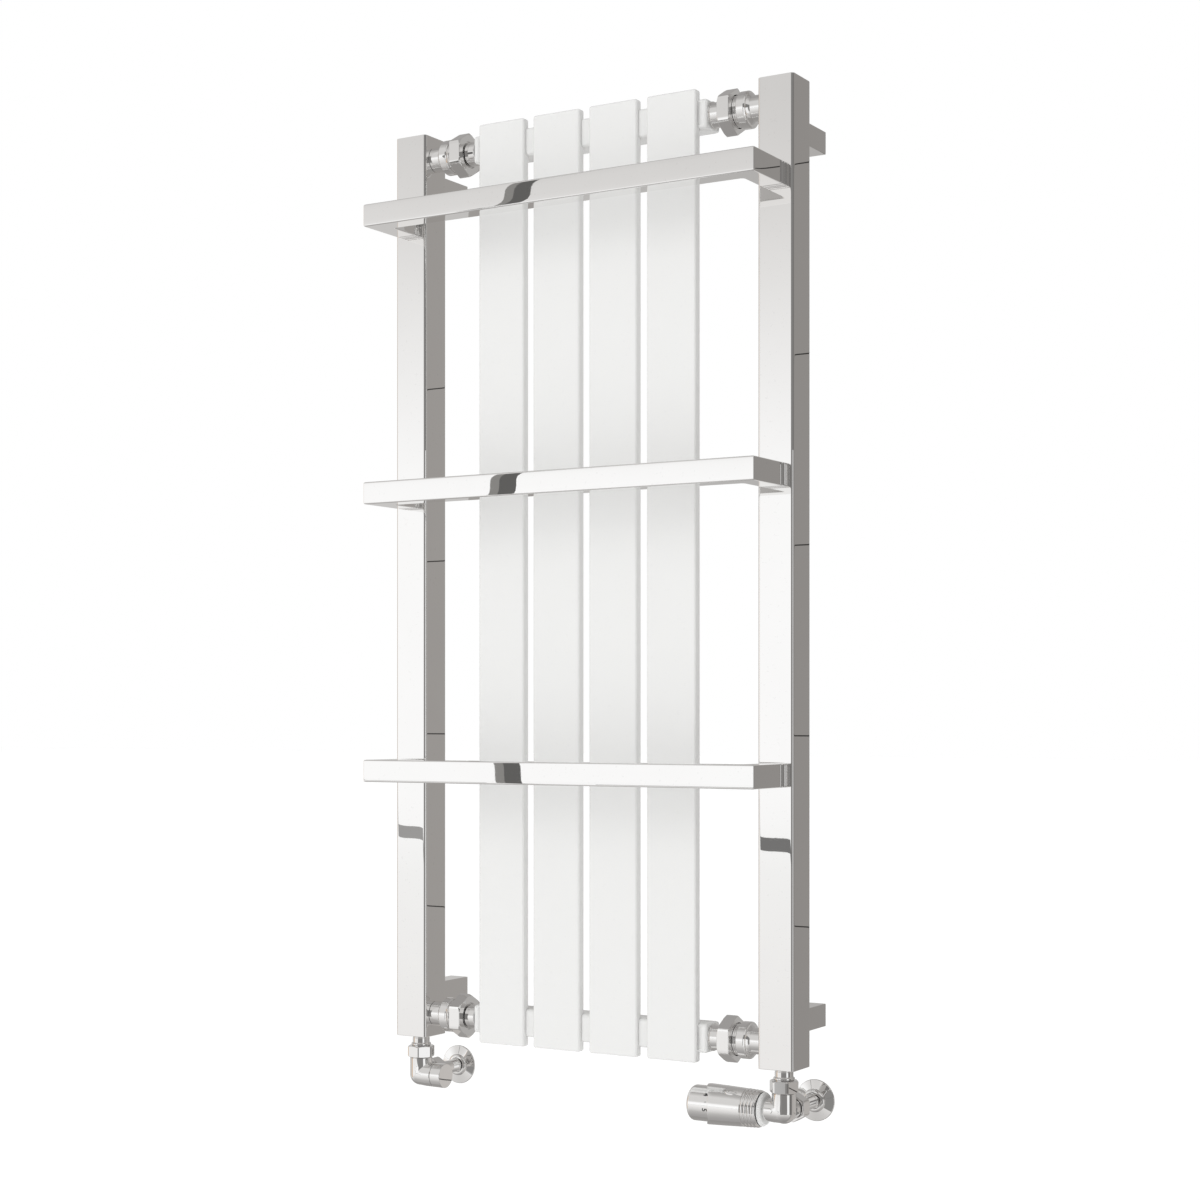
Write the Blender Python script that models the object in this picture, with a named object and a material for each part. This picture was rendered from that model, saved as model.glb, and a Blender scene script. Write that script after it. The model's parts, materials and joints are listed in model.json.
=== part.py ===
"""Towel radiator with thermostatic and lockshield valves. Metres, +Z up, wall at Y = 0."""
import math

import bmesh
import bpy
from mathutils import Matrix, Vector

# Clearance left between pieces that touch or fit
GAP = 0.0003
SEGMENTS = 18
# Drills are turned a little, so that their facets never line up with what they cut
DRILL_TURN = 4.0

# Posts: chrome square tubes that carry the water up each side
POST_SIZE = 0.040
POST_HEIGHT = 1.000
POST_PITCH = 0.450
POST_WALL = 0.002
POST_EDGE = 0.003
WALL_DISTANCE = 0.055
AXIS_Y = -(WALL_DISTANCE + POST_SIZE / 2)
POST_FRONT = -(WALL_DISTANCE + POST_SIZE)
POST_BACK = -WALL_DISTANCE

# Headers: white square tubes between the posts
HEADER_SIZE = 0.030
HEADER_INSET = 0.025
UNION_ROOM = 0.0605
HEADER_LENGTH = POST_PITCH - POST_SIZE - 2 * UNION_ROOM
HEADER_EDGE = 0.003
HEADER_WALL = 0.002
HEADER_LEVELS = {"bottom": HEADER_INSET, "top": POST_HEIGHT - HEADER_INSET}

# Panels: flat white tubes let into the front of the headers
PANEL_COUNT = 4
PANEL_WIDTH = 0.058
PANEL_DEPTH = 0.011
PANEL_PITCH = 0.070
PANEL_EDGE = 0.003
PANEL_WALL = 0.0015
PANEL_PORT = 0.005
REBATE_FLOOR = 0.003

# Towel bars
BAR_SECTION = 0.024
BAR_WALL = 0.0015
BAR_REACH = 0.071
BAR_FIRST = 0.2965
BAR_PITCH = 0.3014
BAR_NAMES = ("bottom", "middle", "top")
BAR_CHAMFER = 0.0015
BAR_INNER_RADIUS = 0.004
NECK_LENGTH = 0.010
NECK_SPIGOT = 0.008
NECK_GROOVE = 0.0015

# Wall brackets
BRACKET_SIZE = 0.0235
BRACKET_RISE = 0.0455
BRACKET_DROP = 0.049
BRACKET_LEVELS = {"bottom": BRACKET_RISE, "top": POST_HEIGHT - BRACKET_DROP}
BRACKET_WALL = 0.0028
BOSS_RADIUS = 0.0085
BOSS_LENGTH = 0.022
BOSS_SCREW_RADIUS = 0.0026

# Unions between header and post; distances are from the header's end
STUB_RADIUS = 0.013
STUB_BORE = 0.008
NUT_FLATS = 0.0425
NUT_START = 0.0142
NUT_LENGTH = 0.0140
NUT_WEB = 0.0025
STUB_CLEARANCE = 0.0018
NUT_WEB_BORE = STUB_RADIUS + STUB_CLEARANCE
THREAD_RADIUS = 0.0165
THREAD_CLEARANCE = 0.0004
FLANGE_THICKNESS = 0.002
SEAL_THICKNESS = 0.0015
COLLAR_START = 0.0340
COLLAR_LENGTH = 0.0107
COLLAR_RADIUS = 0.0191
TAIL_RADIUS = 0.0138
SPIGOT_RADIUS = 0.0105
SPIGOT_INTO_POST = 0.004

# Valves; heights are below the posts' bottom
VALVE_AXIS = 0.044
VALVE_TAIL_RADIUS = 0.010
VALVE_SPIGOT_RADIUS = 0.0075
VALVE_BORE = 0.006
VALVE_NUT_TOP = 0.0122
VALVE_NUT_LENGTH = 0.0125
VALVE_NUT_FLATS = 0.0270
VALVE_THREAD = 0.0115
VALVE_BARREL = 0.0123
VALVE_ELBOW = 0.0129
BRANCH_RADIUS = 0.0117
REAR_RADIUS = 0.0100
REAR_LENGTH = 0.030
REAR_BORE = 0.0052
BARREL_START = 0.0011
BRANCH_START = 0.0017
REAR_START = 0.0023
PIPE_RADIUS = 0.0075
PIPE_WALL = 0.001
PIPE_INSERT = 0.009
PIPE_NUT_FLATS = 0.026
PIPE_NUT_LENGTH = 0.014
PIPE_NUT_WEB = 0.003
ROSETTE_RADIUS = 0.0222
ROSETTE_THICKNESS = 0.0022
ROSETTE_COLLAR = 0.0125
ROSETTE_HEIGHT = 0.007

# Thermostatic head; distances are from the valve's axis
GLAND_START = 0.009
GLAND_END = 0.0285
GLAND_RADIUS = 0.008
BRANCH_BORE = GLAND_RADIUS + GAP
NECK_END = 0.0195
PIN_RADIUS = 0.0018
PIN_CLEARANCE = 0.0004
PIN_START = 0.002
PIN_END = 0.0305
DISC_RADIUS = 0.0055
DISC_THICKNESS = 0.0025
RING_END = 0.0243
RING_RADIUS_START = 0.0162
RING_RADIUS_END = 0.0180
CORE_RADIUS = 0.0165
CORE_INNER = 0.0125
CORE_NECK = 0.0158
CORE_CLEARANCE = 0.0005
DIAL_CLEARANCE = 0.0004
CORE_STEP = 0.0808
CORE_END = 0.0955
SENSOR_RADIUS = 0.011
SENSOR_NOSE = 0.004
SENSOR_START = 0.0345
SENSOR_END = 0.0705
SLEEVE_INNER = CORE_RADIUS + CORE_CLEARANCE
SLEEVE_RADIUS_START = 0.0187
SLEEVE_RADIUS_END = 0.0212
SLEEVE_END = 0.0820
RIB_COUNT = 4
RIB_FIRST = 0.0275
RIB_PITCH = 0.0038
RIB_DEPTH = 0.0010
DIAL_RADIUS = 0.0185
DIAL_INNER = CORE_NECK + DIAL_CLEARANCE
DIAL_END = 0.1045
DIAL_WALL = 0.003
DIAL_ROUND = 0.0045
POINTER_CENTRE = 0.0540
POINTER_LENGTH = 0.013
POINTER_WIDTH = 0.005
POINTER_ANGLE = 51.0

# Lockshield side; distances are from the valve's axis
LOCK_BODY_RADIUS = 0.0125
LOCK_BODY_END = 0.0197
LOCK_NECK_RADIUS = 0.0100
LOCK_NECK_END = 0.0245
SPINDLE_RADIUS = 0.0050
SPINDLE_CLEARANCE = 0.0004
LOCK_BORE = SPINDLE_RADIUS + SPINDLE_CLEARANCE
SPINDLE_START = 0.002
SPINDLE_SHOULDER = 0.0215
SPINDLE_END = 0.0290
SPINDLE_SQUARE = 0.006
LOCK_CAP_RADIUS = 0.0135
CAP_CLEARANCE = 0.0005
LOCK_CAP_INNER = LOCK_NECK_RADIUS + CAP_CLEARANCE
LOCK_CAP_END = 0.0335
LOCK_CAP_WALL = 0.002

# Air vent on the back of the right post
VENT_DROP = 0.017
VENT_LEVEL = POST_HEIGHT - VENT_DROP
VENT_FLANGE = 0.0078
VENT_FLANGE_LENGTH = 0.004
VENT_SPIGOT = 0.005
VENT_SPIGOT_LENGTH = 0.005
VENT_SCREW = 0.0022
VENT_CLEARANCE = 0.0004
VENT_BORE = VENT_SCREW + VENT_CLEARANCE
VENT_HEAD = 0.0025
VENT_HEAD_LENGTH = 0.004


def clear_scene():
    for obj in list(bpy.data.objects):
        bpy.data.objects.remove(obj, do_unlink=True)


def make_material(name, colour, roughness, metallic):
    material = bpy.data.materials.new(name)
    material.use_nodes = True
    shader = material.node_tree.nodes["Principled BSDF"]
    shader.inputs["Base Color"].default_value = (*colour, 1.0)
    shader.inputs["Roughness"].default_value = roughness
    shader.inputs["Metallic"].default_value = metallic
    material.diffuse_color = (*colour, 1.0)
    return material


def axis_frame(origin, direction, up=(0.0, 0.0, 1.0)):
    """Frame whose local Z runs along the direction and whose local X is the up vector."""
    z = Vector(direction).normalized()
    x = Vector(up)
    if abs(x.dot(z)) > 0.9:
        x = Vector((0.0, -1.0, 0.0))
    x = (x - z * x.dot(z)).normalized()
    y = z.cross(x)
    frame = Matrix((x, y, z)).transposed().to_4x4()
    frame.translation = Vector(origin)
    return frame


def finish_mesh(bm, name, frame):
    bmesh.ops.recalc_face_normals(bm, faces=bm.faces)
    bm.transform(frame)
    mesh = bpy.data.meshes.new(name)
    bm.to_mesh(mesh)
    bm.free()
    obj = bpy.data.objects.new(name, mesh)
    bpy.context.scene.collection.objects.link(obj)
    return obj


def turned(name, profile, frame, segments=SEGMENTS):
    """Solid of revolution about the frame's Z. A profile of (radius, distance) points
    is a closed loop; points on the axis become poles."""
    bm = bmesh.new()
    rings = []
    for radius, distance in profile:
        if radius < 1e-7:
            rings.append([bm.verts.new((0.0, 0.0, distance))])
            continue
        ring = []
        for step in range(segments):
            angle = math.tau * step / segments
            point = (radius * math.cos(angle), radius * math.sin(angle), distance)
            ring.append(bm.verts.new(point))
        rings.append(ring)
    bridge_rings(bm, rings, segments)
    return finish_mesh(bm, name, frame)


def bridge_rings(bm, rings, segments):
    for index, ring in enumerate(rings):
        other = rings[(index + 1) % len(rings)]
        for step in range(segments):
            after = (step + 1) % segments
            if len(ring) == 1 and len(other) == 1:
                break
            if len(ring) == 1:
                bm.faces.new((ring[0], other[step], other[after]))
            elif len(other) == 1:
                bm.faces.new((ring[step], other[0], ring[after]))
            else:
                bm.faces.new((ring[step], other[step], other[after], ring[after]))


def hex_nut(name, flats, start, length, web, web_bore, bore, frame):
    """Chamfered hexagon nut with a narrow hole at its start and a wide bore behind it."""
    bm = bmesh.new()
    end = start + length
    chamfer = flats * 0.485
    rings = [[] for _ in range(8)]
    for step in range(SEGMENTS):
        angle = math.tau * step / SEGMENTS
        around = (angle % math.radians(60.0)) - math.radians(30.0)
        hexagon = flats / 2 / math.cos(around)
        drop = (hexagon - chamfer) * math.tan(math.radians(30.0))
        loop = (
            (chamfer, start),
            (hexagon, start + drop),
            (hexagon, end - drop),
            (chamfer, end),
            (bore, end),
            (bore, start + web),
            (web_bore, start + web),
            (web_bore, start),
        )
        for ring, (radius, distance) in zip(rings, loop):
            point = (radius * math.cos(angle), radius * math.sin(angle), distance)
            ring.append(bm.verts.new(point))
    bridge_rings(bm, rings, SEGMENTS)
    return finish_mesh(bm, name, frame)


def prism(name, outline, low, high, frame):
    """Outline of (x, y) points in the frame, run from low to high along its Z."""
    bm = bmesh.new()
    bottom = [bm.verts.new((x, y, low)) for x, y in outline]
    top = [bm.verts.new((x, y, high)) for x, y in outline]
    bm.faces.new(bottom)
    bm.faces.new(top)
    count = len(outline)
    for index in range(count):
        after = (index + 1) % count
        bm.faces.new((bottom[index], bottom[after], top[after], top[index]))
    return finish_mesh(bm, name, frame)


def rounded_rectangle(width, depth, radius, steps=3):
    points = []
    for quarter, (sx, sy) in enumerate(((1, 1), (-1, 1), (-1, -1), (1, -1))):
        cx = sx * (width / 2 - radius)
        cy = sy * (depth / 2 - radius)
        for step in range(steps + 1):
            angle = math.radians(90.0 * (quarter + step / steps))
            points.append((cx + radius * math.cos(angle), cy + radius * math.sin(angle)))
    return points


def box(name, low, high):
    outline = [(low[0], low[1]), (high[0], low[1]), (high[0], high[1]), (low[0], high[1])]
    return prism(name, outline, low[2], high[2], Matrix.Identity(4))


def combine(target, tools, operation):
    for tool in tools:
        modifier = target.modifiers.new("combine", "BOOLEAN")
        modifier.operation = operation
        modifier.solver = "EXACT"
        modifier.object = tool
        depsgraph = bpy.context.evaluated_depsgraph_get()
        mesh = bpy.data.meshes.new_from_object(target.evaluated_get(depsgraph))
        target.modifiers.clear()
        target.data = mesh
        bpy.data.objects.remove(tool, do_unlink=True)


def drill(name, profile, frame):
    return turned(name, profile, frame @ Matrix.Rotation(math.radians(DRILL_TURN), 4, "Z"))


def cylinder(name, radius, start, end, frame):
    return drill(name, [(0.0, start), (radius, start), (radius, end), (0.0, end)], frame)


def set_origin(obj, point):
    offset = Vector(point)
    obj.data.transform(Matrix.Translation(-offset))
    obj.location = offset


def finish(obj, material, smooth=True):
    mesh = obj.data
    bm = bmesh.new()
    bm.from_mesh(mesh)
    bmesh.ops.remove_doubles(bm, verts=bm.verts, dist=1e-6)
    bmesh.ops.dissolve_degenerate(bm, edges=bm.edges, dist=1e-6)
    bmesh.ops.recalc_face_normals(bm, faces=bm.faces)
    bm.to_mesh(mesh)
    bm.free()
    mesh.materials.clear()
    mesh.materials.append(material)
    if smooth:
        mesh.shade_smooth()
        mesh.set_sharp_from_angle(angle=math.radians(32.0))
    return obj


def build_post(side, x, material):
    post = prism(
        f"post_{side}",
        rounded_rectangle(POST_SIZE, POST_SIZE, POST_EDGE),
        0.0,
        POST_HEIGHT,
        Matrix.Translation((x, AXIS_Y, 0.0)),
    )
    half = POST_SIZE / 2 - POST_WALL
    cavity = box(
        "post_cavity",
        (x - half, AXIS_Y - half, POST_WALL),
        (x + half, AXIS_Y + half, POST_HEIGHT - POST_WALL),
    )
    tools = [cavity]
    inward = -1.0 if x > 0 else 1.0
    for level in HEADER_LEVELS.values():
        frame = axis_frame((x, AXIS_Y, level), (inward, 0.0, 0.0))
        port = SPIGOT_RADIUS + GAP
        tools.append(cylinder("union_port", port, POST_SIZE / 4, POST_SIZE, frame))
    frame = axis_frame((x, AXIS_Y, 0.0), (0.0, 0.0, -1.0))
    port = VALVE_SPIGOT_RADIUS + GAP
    tools.append(cylinder("valve_port", port, -POST_SIZE / 4, POST_SIZE / 4, frame))
    if x > 0:
        frame = axis_frame((x, POST_BACK, VENT_LEVEL), (0.0, 1.0, 0.0))
        port = VENT_SPIGOT + GAP
        tools.append(cylinder("vent_port", port, -POST_SIZE / 4, POST_SIZE / 4, frame))
    combine(post, tools, "DIFFERENCE")
    return finish(post, material)


def header_rebate_y():
    return POST_FRONT + PANEL_DEPTH + GAP


def panel_centres():
    first = -(PANEL_COUNT - 1) * PANEL_PITCH / 2
    return [first + PANEL_PITCH * index for index in range(PANEL_COUNT)]


def build_header(level_name, level, material):
    """The tube is cut level with the origin and lifted to its own level afterwards."""
    across = axis_frame((0.0, AXIS_Y, 0.0), (1.0, 0.0, 0.0))
    half_length = HEADER_LENGTH / 2
    header = prism(
        f"header_{level_name}",
        rounded_rectangle(HEADER_SIZE, HEADER_SIZE, HEADER_EDGE),
        -half_length,
        half_length,
        across,
    )
    flange_start = NUT_START + NUT_WEB + GAP
    for direction in (1.0, -1.0):
        frame = axis_frame((direction * half_length, AXIS_Y, 0.0), (direction, 0.0, 0.0))
        profile = [
            (0.0, -HEADER_WALL / 2),
            (STUB_RADIUS, -HEADER_WALL / 2),
            (STUB_RADIUS, flange_start),
            (THREAD_RADIUS, flange_start),
            (THREAD_RADIUS, flange_start + FLANGE_THICKNESS),
            (0.0, flange_start + FLANGE_THICKNESS),
        ]
        combine(header, [turned("header_stub", profile, frame)], "UNION")
    low_y = header_rebate_y() + REBATE_FLOOR
    high_y = AXIS_Y + HEADER_SIZE / 2 - HEADER_WALL
    half = HEADER_SIZE / 2 - HEADER_WALL
    cavity = box(
        "header_cavity",
        (-half_length + HEADER_WALL, low_y, -half),
        (half_length - HEADER_WALL, high_y, half),
    )
    tools = [cavity]
    for direction in (1.0, -1.0):
        frame = axis_frame((direction * half_length, AXIS_Y, 0.0), (direction, 0.0, 0.0))
        reach = flange_start + 2 * FLANGE_THICKNESS
        tools.append(cylinder("stub_bore", STUB_BORE, -1.5 * HEADER_WALL, reach, frame))
    for x in panel_centres():
        half_width = PANEL_WIDTH / 2 + GAP
        tools.append(
            box(
                "rebate",
                (x - half_width, POST_FRONT, -HEADER_SIZE),
                (x + half_width, header_rebate_y(), HEADER_SIZE),
            )
        )
        frame = axis_frame((x, header_rebate_y(), 0.0), (0.0, 1.0, 0.0))
        tools.append(
            cylinder("panel_port", PANEL_PORT, -REBATE_FLOOR, 2 * REBATE_FLOOR, frame)
        )
    combine(header, tools, "DIFFERENCE")
    header.data.transform(Matrix.Translation((0.0, 0.0, level)))
    return finish(header, material)


def build_panel(index, x, material):
    centre_y = POST_FRONT + PANEL_DEPTH / 2
    panel = prism(
        f"panel_{index + 1}",
        rounded_rectangle(PANEL_WIDTH, PANEL_DEPTH, PANEL_EDGE),
        0.0,
        POST_HEIGHT,
        Matrix.Translation((x, centre_y, 0.0)),
    )
    half_width = PANEL_WIDTH / 2 - PANEL_WALL
    half_depth = PANEL_DEPTH / 2 - PANEL_WALL
    tools = [
        box(
            "panel_cavity",
            (x - half_width, centre_y - half_depth, PANEL_WALL),
            (x + half_width, centre_y + half_depth, POST_HEIGHT - PANEL_WALL),
        )
    ]
    for level in HEADER_LEVELS.values():
        frame = axis_frame((x, centre_y, level), (0.0, 1.0, 0.0))
        tools.append(cylinder("panel_port", PANEL_PORT, 0.0, PANEL_DEPTH, frame))
    combine(panel, tools, "DIFFERENCE")
    return finish(panel, material)


def bar_outline(outer, inner, chamfer, radius, front, back):
    """U outline open at the back: outer and inner half-widths, front and back planes."""
    thickness = outer - inner
    points = [
        (outer, back),
        (outer, front + chamfer),
        (outer - chamfer, front),
        (-outer + chamfer, front),
        (-outer, front + chamfer),
        (-outer, back),
        (-inner, back),
    ]
    inner_front = front + thickness
    steps = 4
    for step in range(steps + 1):
        angle = math.radians(180.0 + 90.0 * step / steps)
        x = -inner + radius + radius * math.cos(angle)
        y = inner_front + radius + radius * math.sin(angle)
        points.append((x, y))
    for step in range(steps + 1):
        angle = math.radians(270.0 + 90.0 * step / steps)
        x = inner - radius + radius * math.cos(angle)
        y = inner_front + radius + radius * math.sin(angle)
        points.append((x, y))
    points.append((inner, back))
    return points


def build_bar(name, level, material):
    outer = POST_PITCH / 2 + BAR_SECTION / 2
    front = POST_FRONT - BAR_REACH
    back = POST_FRONT - NECK_LENGTH - GAP
    half = BAR_SECTION / 2
    outline = bar_outline(
        outer, outer - BAR_SECTION, BAR_CHAMFER, BAR_INNER_RADIUS, front, back
    )
    frame = Matrix.Translation((0.0, 0.0, level))
    bar = prism(f"towel_bar_{name}", outline, -half, half, frame)
    hollow = bar_outline(
        outer - BAR_WALL,
        outer - BAR_SECTION + BAR_WALL,
        BAR_CHAMFER,
        BAR_INNER_RADIUS,
        front + BAR_WALL,
        back + BAR_WALL,
    )
    tool = prism("bar_hollow", hollow, -half + BAR_WALL, half - BAR_WALL, frame)
    combine(bar, [tool], "DIFFERENCE")
    return finish(bar, material)


def build_neck(name, x, level, material):
    """Square spacer with a grooved middle, a plate at the post and a plug in the bar."""
    frame = axis_frame((x, POST_FRONT - GAP, level), (0.0, -1.0, 0.0))
    half = BAR_SECTION / 2
    groove = half - NECK_GROOVE
    plug = half - BAR_WALL - GAP
    plate = NECK_LENGTH * 0.2
    ledge = NECK_LENGTH * 0.32
    end = NECK_LENGTH - GAP
    profile = [
        (half, 0.0),
        (half, plate),
        (groove, plate),
        (groove, ledge),
        (half, ledge),
        (half, end),
        (plug, end),
        (plug, NECK_LENGTH + NECK_SPIGOT),
    ]
    bm = bmesh.new()
    rings = []
    for size, distance in profile:
        corners = ((size, size), (-size, size), (-size, -size), (size, -size))
        rings.append([bm.verts.new((cx, cy, distance)) for cx, cy in corners])
    for ring, other in zip(rings, rings[1:]):
        for step in range(4):
            after = (step + 1) % 4
            bm.faces.new((ring[step], other[step], other[after], ring[after]))
    bm.faces.new(rings[0])
    bm.faces.new(rings[-1])
    neck = finish_mesh(bm, name, frame)
    return finish(neck, material)


def build_bracket(name, x, level, metal, steel):
    """Square socket on the post's back that slides over a round boss on the wall."""
    half = BRACKET_SIZE / 2
    socket = box(
        f"bracket_{name}",
        (x - half, POST_BACK + GAP, level - half),
        (x + half, 0.0, level + half),
    )
    frame = axis_frame((x, 0.0, level), (0.0, -1.0, 0.0))
    hollow = BOSS_RADIUS + GAP
    tool = cylinder("socket_bore", hollow, -BRACKET_WALL, BOSS_LENGTH + BRACKET_WALL, frame)
    combine(socket, [tool], "DIFFERENCE")
    boss = turned(
        f"wall_boss_{name}",
        [
            (BOSS_SCREW_RADIUS, 0.0),
            (BOSS_RADIUS, 0.0),
            (BOSS_RADIUS, BOSS_LENGTH),
            (2 * BOSS_SCREW_RADIUS, BOSS_LENGTH),
            (2 * BOSS_SCREW_RADIUS, BOSS_LENGTH / 2),
            (BOSS_SCREW_RADIUS, BOSS_LENGTH / 2 - BOSS_SCREW_RADIUS),
        ],
        frame,
    )
    return [finish(socket, metal), finish(boss, steel)]


def build_union(name, x_end, direction, level, metal, rubber):
    """Nut, seal and post tail; the header carries the flanged stub itself."""
    frame = axis_frame((x_end, AXIS_Y, level), (direction, 0.0, 0.0))
    bore = THREAD_RADIUS + THREAD_CLEARANCE
    nut = hex_nut(
        f"union_nut_{name}", NUT_FLATS, NUT_START, NUT_LENGTH, NUT_WEB, NUT_WEB_BORE,
        bore, frame,
    )
    seal_start = NUT_START + NUT_WEB + FLANGE_THICKNESS + 2 * GAP
    seal_end = seal_start + SEAL_THICKNESS
    seal = turned(
        f"union_seal_{name}",
        [
            (STUB_BORE, seal_start),
            (THREAD_RADIUS, seal_start),
            (THREAD_RADIUS, seal_end),
            (STUB_BORE, seal_end),
        ],
        frame,
    )
    tail = turned(
        f"post_tail_{name}",
        [
            (STUB_BORE, seal_end + GAP),
            (THREAD_RADIUS, seal_end + GAP),
            (THREAD_RADIUS, COLLAR_START),
            (COLLAR_RADIUS, COLLAR_START),
            (COLLAR_RADIUS, COLLAR_START + COLLAR_LENGTH),
            (TAIL_RADIUS, COLLAR_START + COLLAR_LENGTH),
            (TAIL_RADIUS, UNION_ROOM - GAP),
            (SPIGOT_RADIUS, UNION_ROOM - GAP),
            (SPIGOT_RADIUS, UNION_ROOM + SPIGOT_INTO_POST),
            (STUB_BORE, UNION_ROOM + SPIGOT_INTO_POST),
        ],
        frame,
    )
    return [finish(nut, metal), finish(seal, rubber), finish(tail, metal)]


def valve_thread_top():
    return VALVE_NUT_TOP + NUT_WEB + FLANGE_THICKNESS + 2 * GAP


def build_valve_tail(side, x, metal):
    down = axis_frame((x, AXIS_Y, 0.0), (0.0, 0.0, -1.0))
    flange = VALVE_NUT_TOP + NUT_WEB + GAP
    tail = turned(
        f"valve_tail_{side}",
        [
            (VALVE_BORE, -(POST_WALL + SPIGOT_INTO_POST)),
            (VALVE_SPIGOT_RADIUS, -(POST_WALL + SPIGOT_INTO_POST)),
            (VALVE_SPIGOT_RADIUS, GAP),
            (VALVE_TAIL_RADIUS, GAP),
            (VALVE_TAIL_RADIUS, flange),
            (VALVE_THREAD, flange),
            (VALVE_THREAD, flange + FLANGE_THICKNESS),
            (VALVE_BORE, flange + FLANGE_THICKNESS),
        ],
        down,
    )
    nut = hex_nut(
        f"valve_nut_{side}", VALVE_NUT_FLATS, VALVE_NUT_TOP, VALVE_NUT_LENGTH, NUT_WEB,
        VALVE_TAIL_RADIUS + 2 * GAP, VALVE_THREAD + THREAD_CLEARANCE, down,
    )
    return [finish(tail, metal), finish(nut, metal)]


def build_valve_body(side, x, inward, branch_profile, branch_bore, metal):
    """Elbow body: union thread on top, a branch towards the middle, the pipe at the back."""
    centre = (x, AXIS_Y, -VALVE_AXIS)
    up = axis_frame(centre, (0.0, 0.0, 1.0))
    across = axis_frame(centre, (inward, 0.0, 0.0))
    back = axis_frame(centre, (0.0, 1.0, 0.0))
    thread_top = VALVE_AXIS - valve_thread_top()
    barrel_top = VALVE_AXIS - VALVE_NUT_TOP - VALVE_NUT_LENGTH - GAP
    body = turned(
        f"valve_body_{side}",
        [
            (0.0, -BARREL_START),
            (VALVE_BARREL, -BARREL_START),
            (VALVE_BARREL, barrel_top),
            (VALVE_THREAD, barrel_top),
            (VALVE_THREAD, thread_top),
            (0.0, thread_top),
        ],
        up,
    )
    elbow = []
    steps = 8
    for step in range(steps + 1):
        angle = math.radians(-90.0 + 180.0 * step / steps)
        elbow.append((VALVE_ELBOW * math.cos(angle), VALVE_ELBOW * math.sin(angle)))
    elbow[0] = (0.0, -VALVE_ELBOW)
    elbow[-1] = (0.0, VALVE_ELBOW)
    parts = [
        turned("elbow", elbow, axis_frame(centre, (0.3 * inward, -0.2, -1.0))),
        turned("branch", branch_profile, across),
        cylinder("rear", REAR_RADIUS, -REAR_START, REAR_LENGTH, back),
    ]
    combine(body, parts, "UNION")
    socket_floor = REAR_LENGTH - PIPE_INSERT - GAP
    pipe_socket = [
        (0.0, -VALVE_BORE / 3),
        (REAR_BORE, -VALVE_BORE / 3),
        (REAR_BORE, socket_floor),
        (PIPE_RADIUS + GAP, socket_floor),
        (PIPE_RADIUS + GAP, 2 * REAR_LENGTH),
        (0.0, 2 * REAR_LENGTH),
    ]
    bores = [
        cylinder("water_bore", VALVE_BORE, -VALVE_BORE / 2, 2 * thread_top, up),
        cylinder("branch_bore", branch_bore, -VALVE_BORE / 4, 2 * NECK_END, across),
        drill("rear_bore", pipe_socket, back),
    ]
    combine(body, bores, "DIFFERENCE")
    return finish(body, metal)


def build_pipework(side, x, metal, copper):
    back = axis_frame((x, AXIS_Y, -VALVE_AXIS), (0.0, 1.0, 0.0))
    to_wall = -AXIS_Y
    pipe = turned(
        f"supply_pipe_{side}",
        [
            (PIPE_RADIUS - PIPE_WALL, REAR_LENGTH - PIPE_INSERT),
            (PIPE_RADIUS, REAR_LENGTH - PIPE_INSERT),
            (PIPE_RADIUS, to_wall),
            (PIPE_RADIUS - PIPE_WALL, to_wall),
        ],
        back,
    )
    # The nut's narrow end faces the wall, so its frame runs the other way
    nut_end = REAR_LENGTH + PIPE_NUT_WEB + 2 * GAP
    forward = axis_frame((x, AXIS_Y + nut_end, -VALVE_AXIS), (0.0, -1.0, 0.0))
    nut = hex_nut(
        f"pipe_nut_{side}", PIPE_NUT_FLATS, 0.0, PIPE_NUT_LENGTH, PIPE_NUT_WEB,
        PIPE_RADIUS + GAP, REAR_RADIUS + THREAD_CLEARANCE, forward,
    )
    rosette = turned(
        f"rosette_{side}",
        [
            (PIPE_RADIUS + GAP, to_wall - ROSETTE_HEIGHT),
            (ROSETTE_COLLAR, to_wall - ROSETTE_HEIGHT),
            (ROSETTE_COLLAR, to_wall - ROSETTE_THICKNESS * 1.8),
            (ROSETTE_RADIUS, to_wall - ROSETTE_THICKNESS),
            (ROSETTE_RADIUS, to_wall),
            (PIPE_RADIUS + GAP, to_wall),
        ],
        back,
    )
    return [finish(pipe, copper), finish(nut, metal), finish(rosette, metal)]


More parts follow.
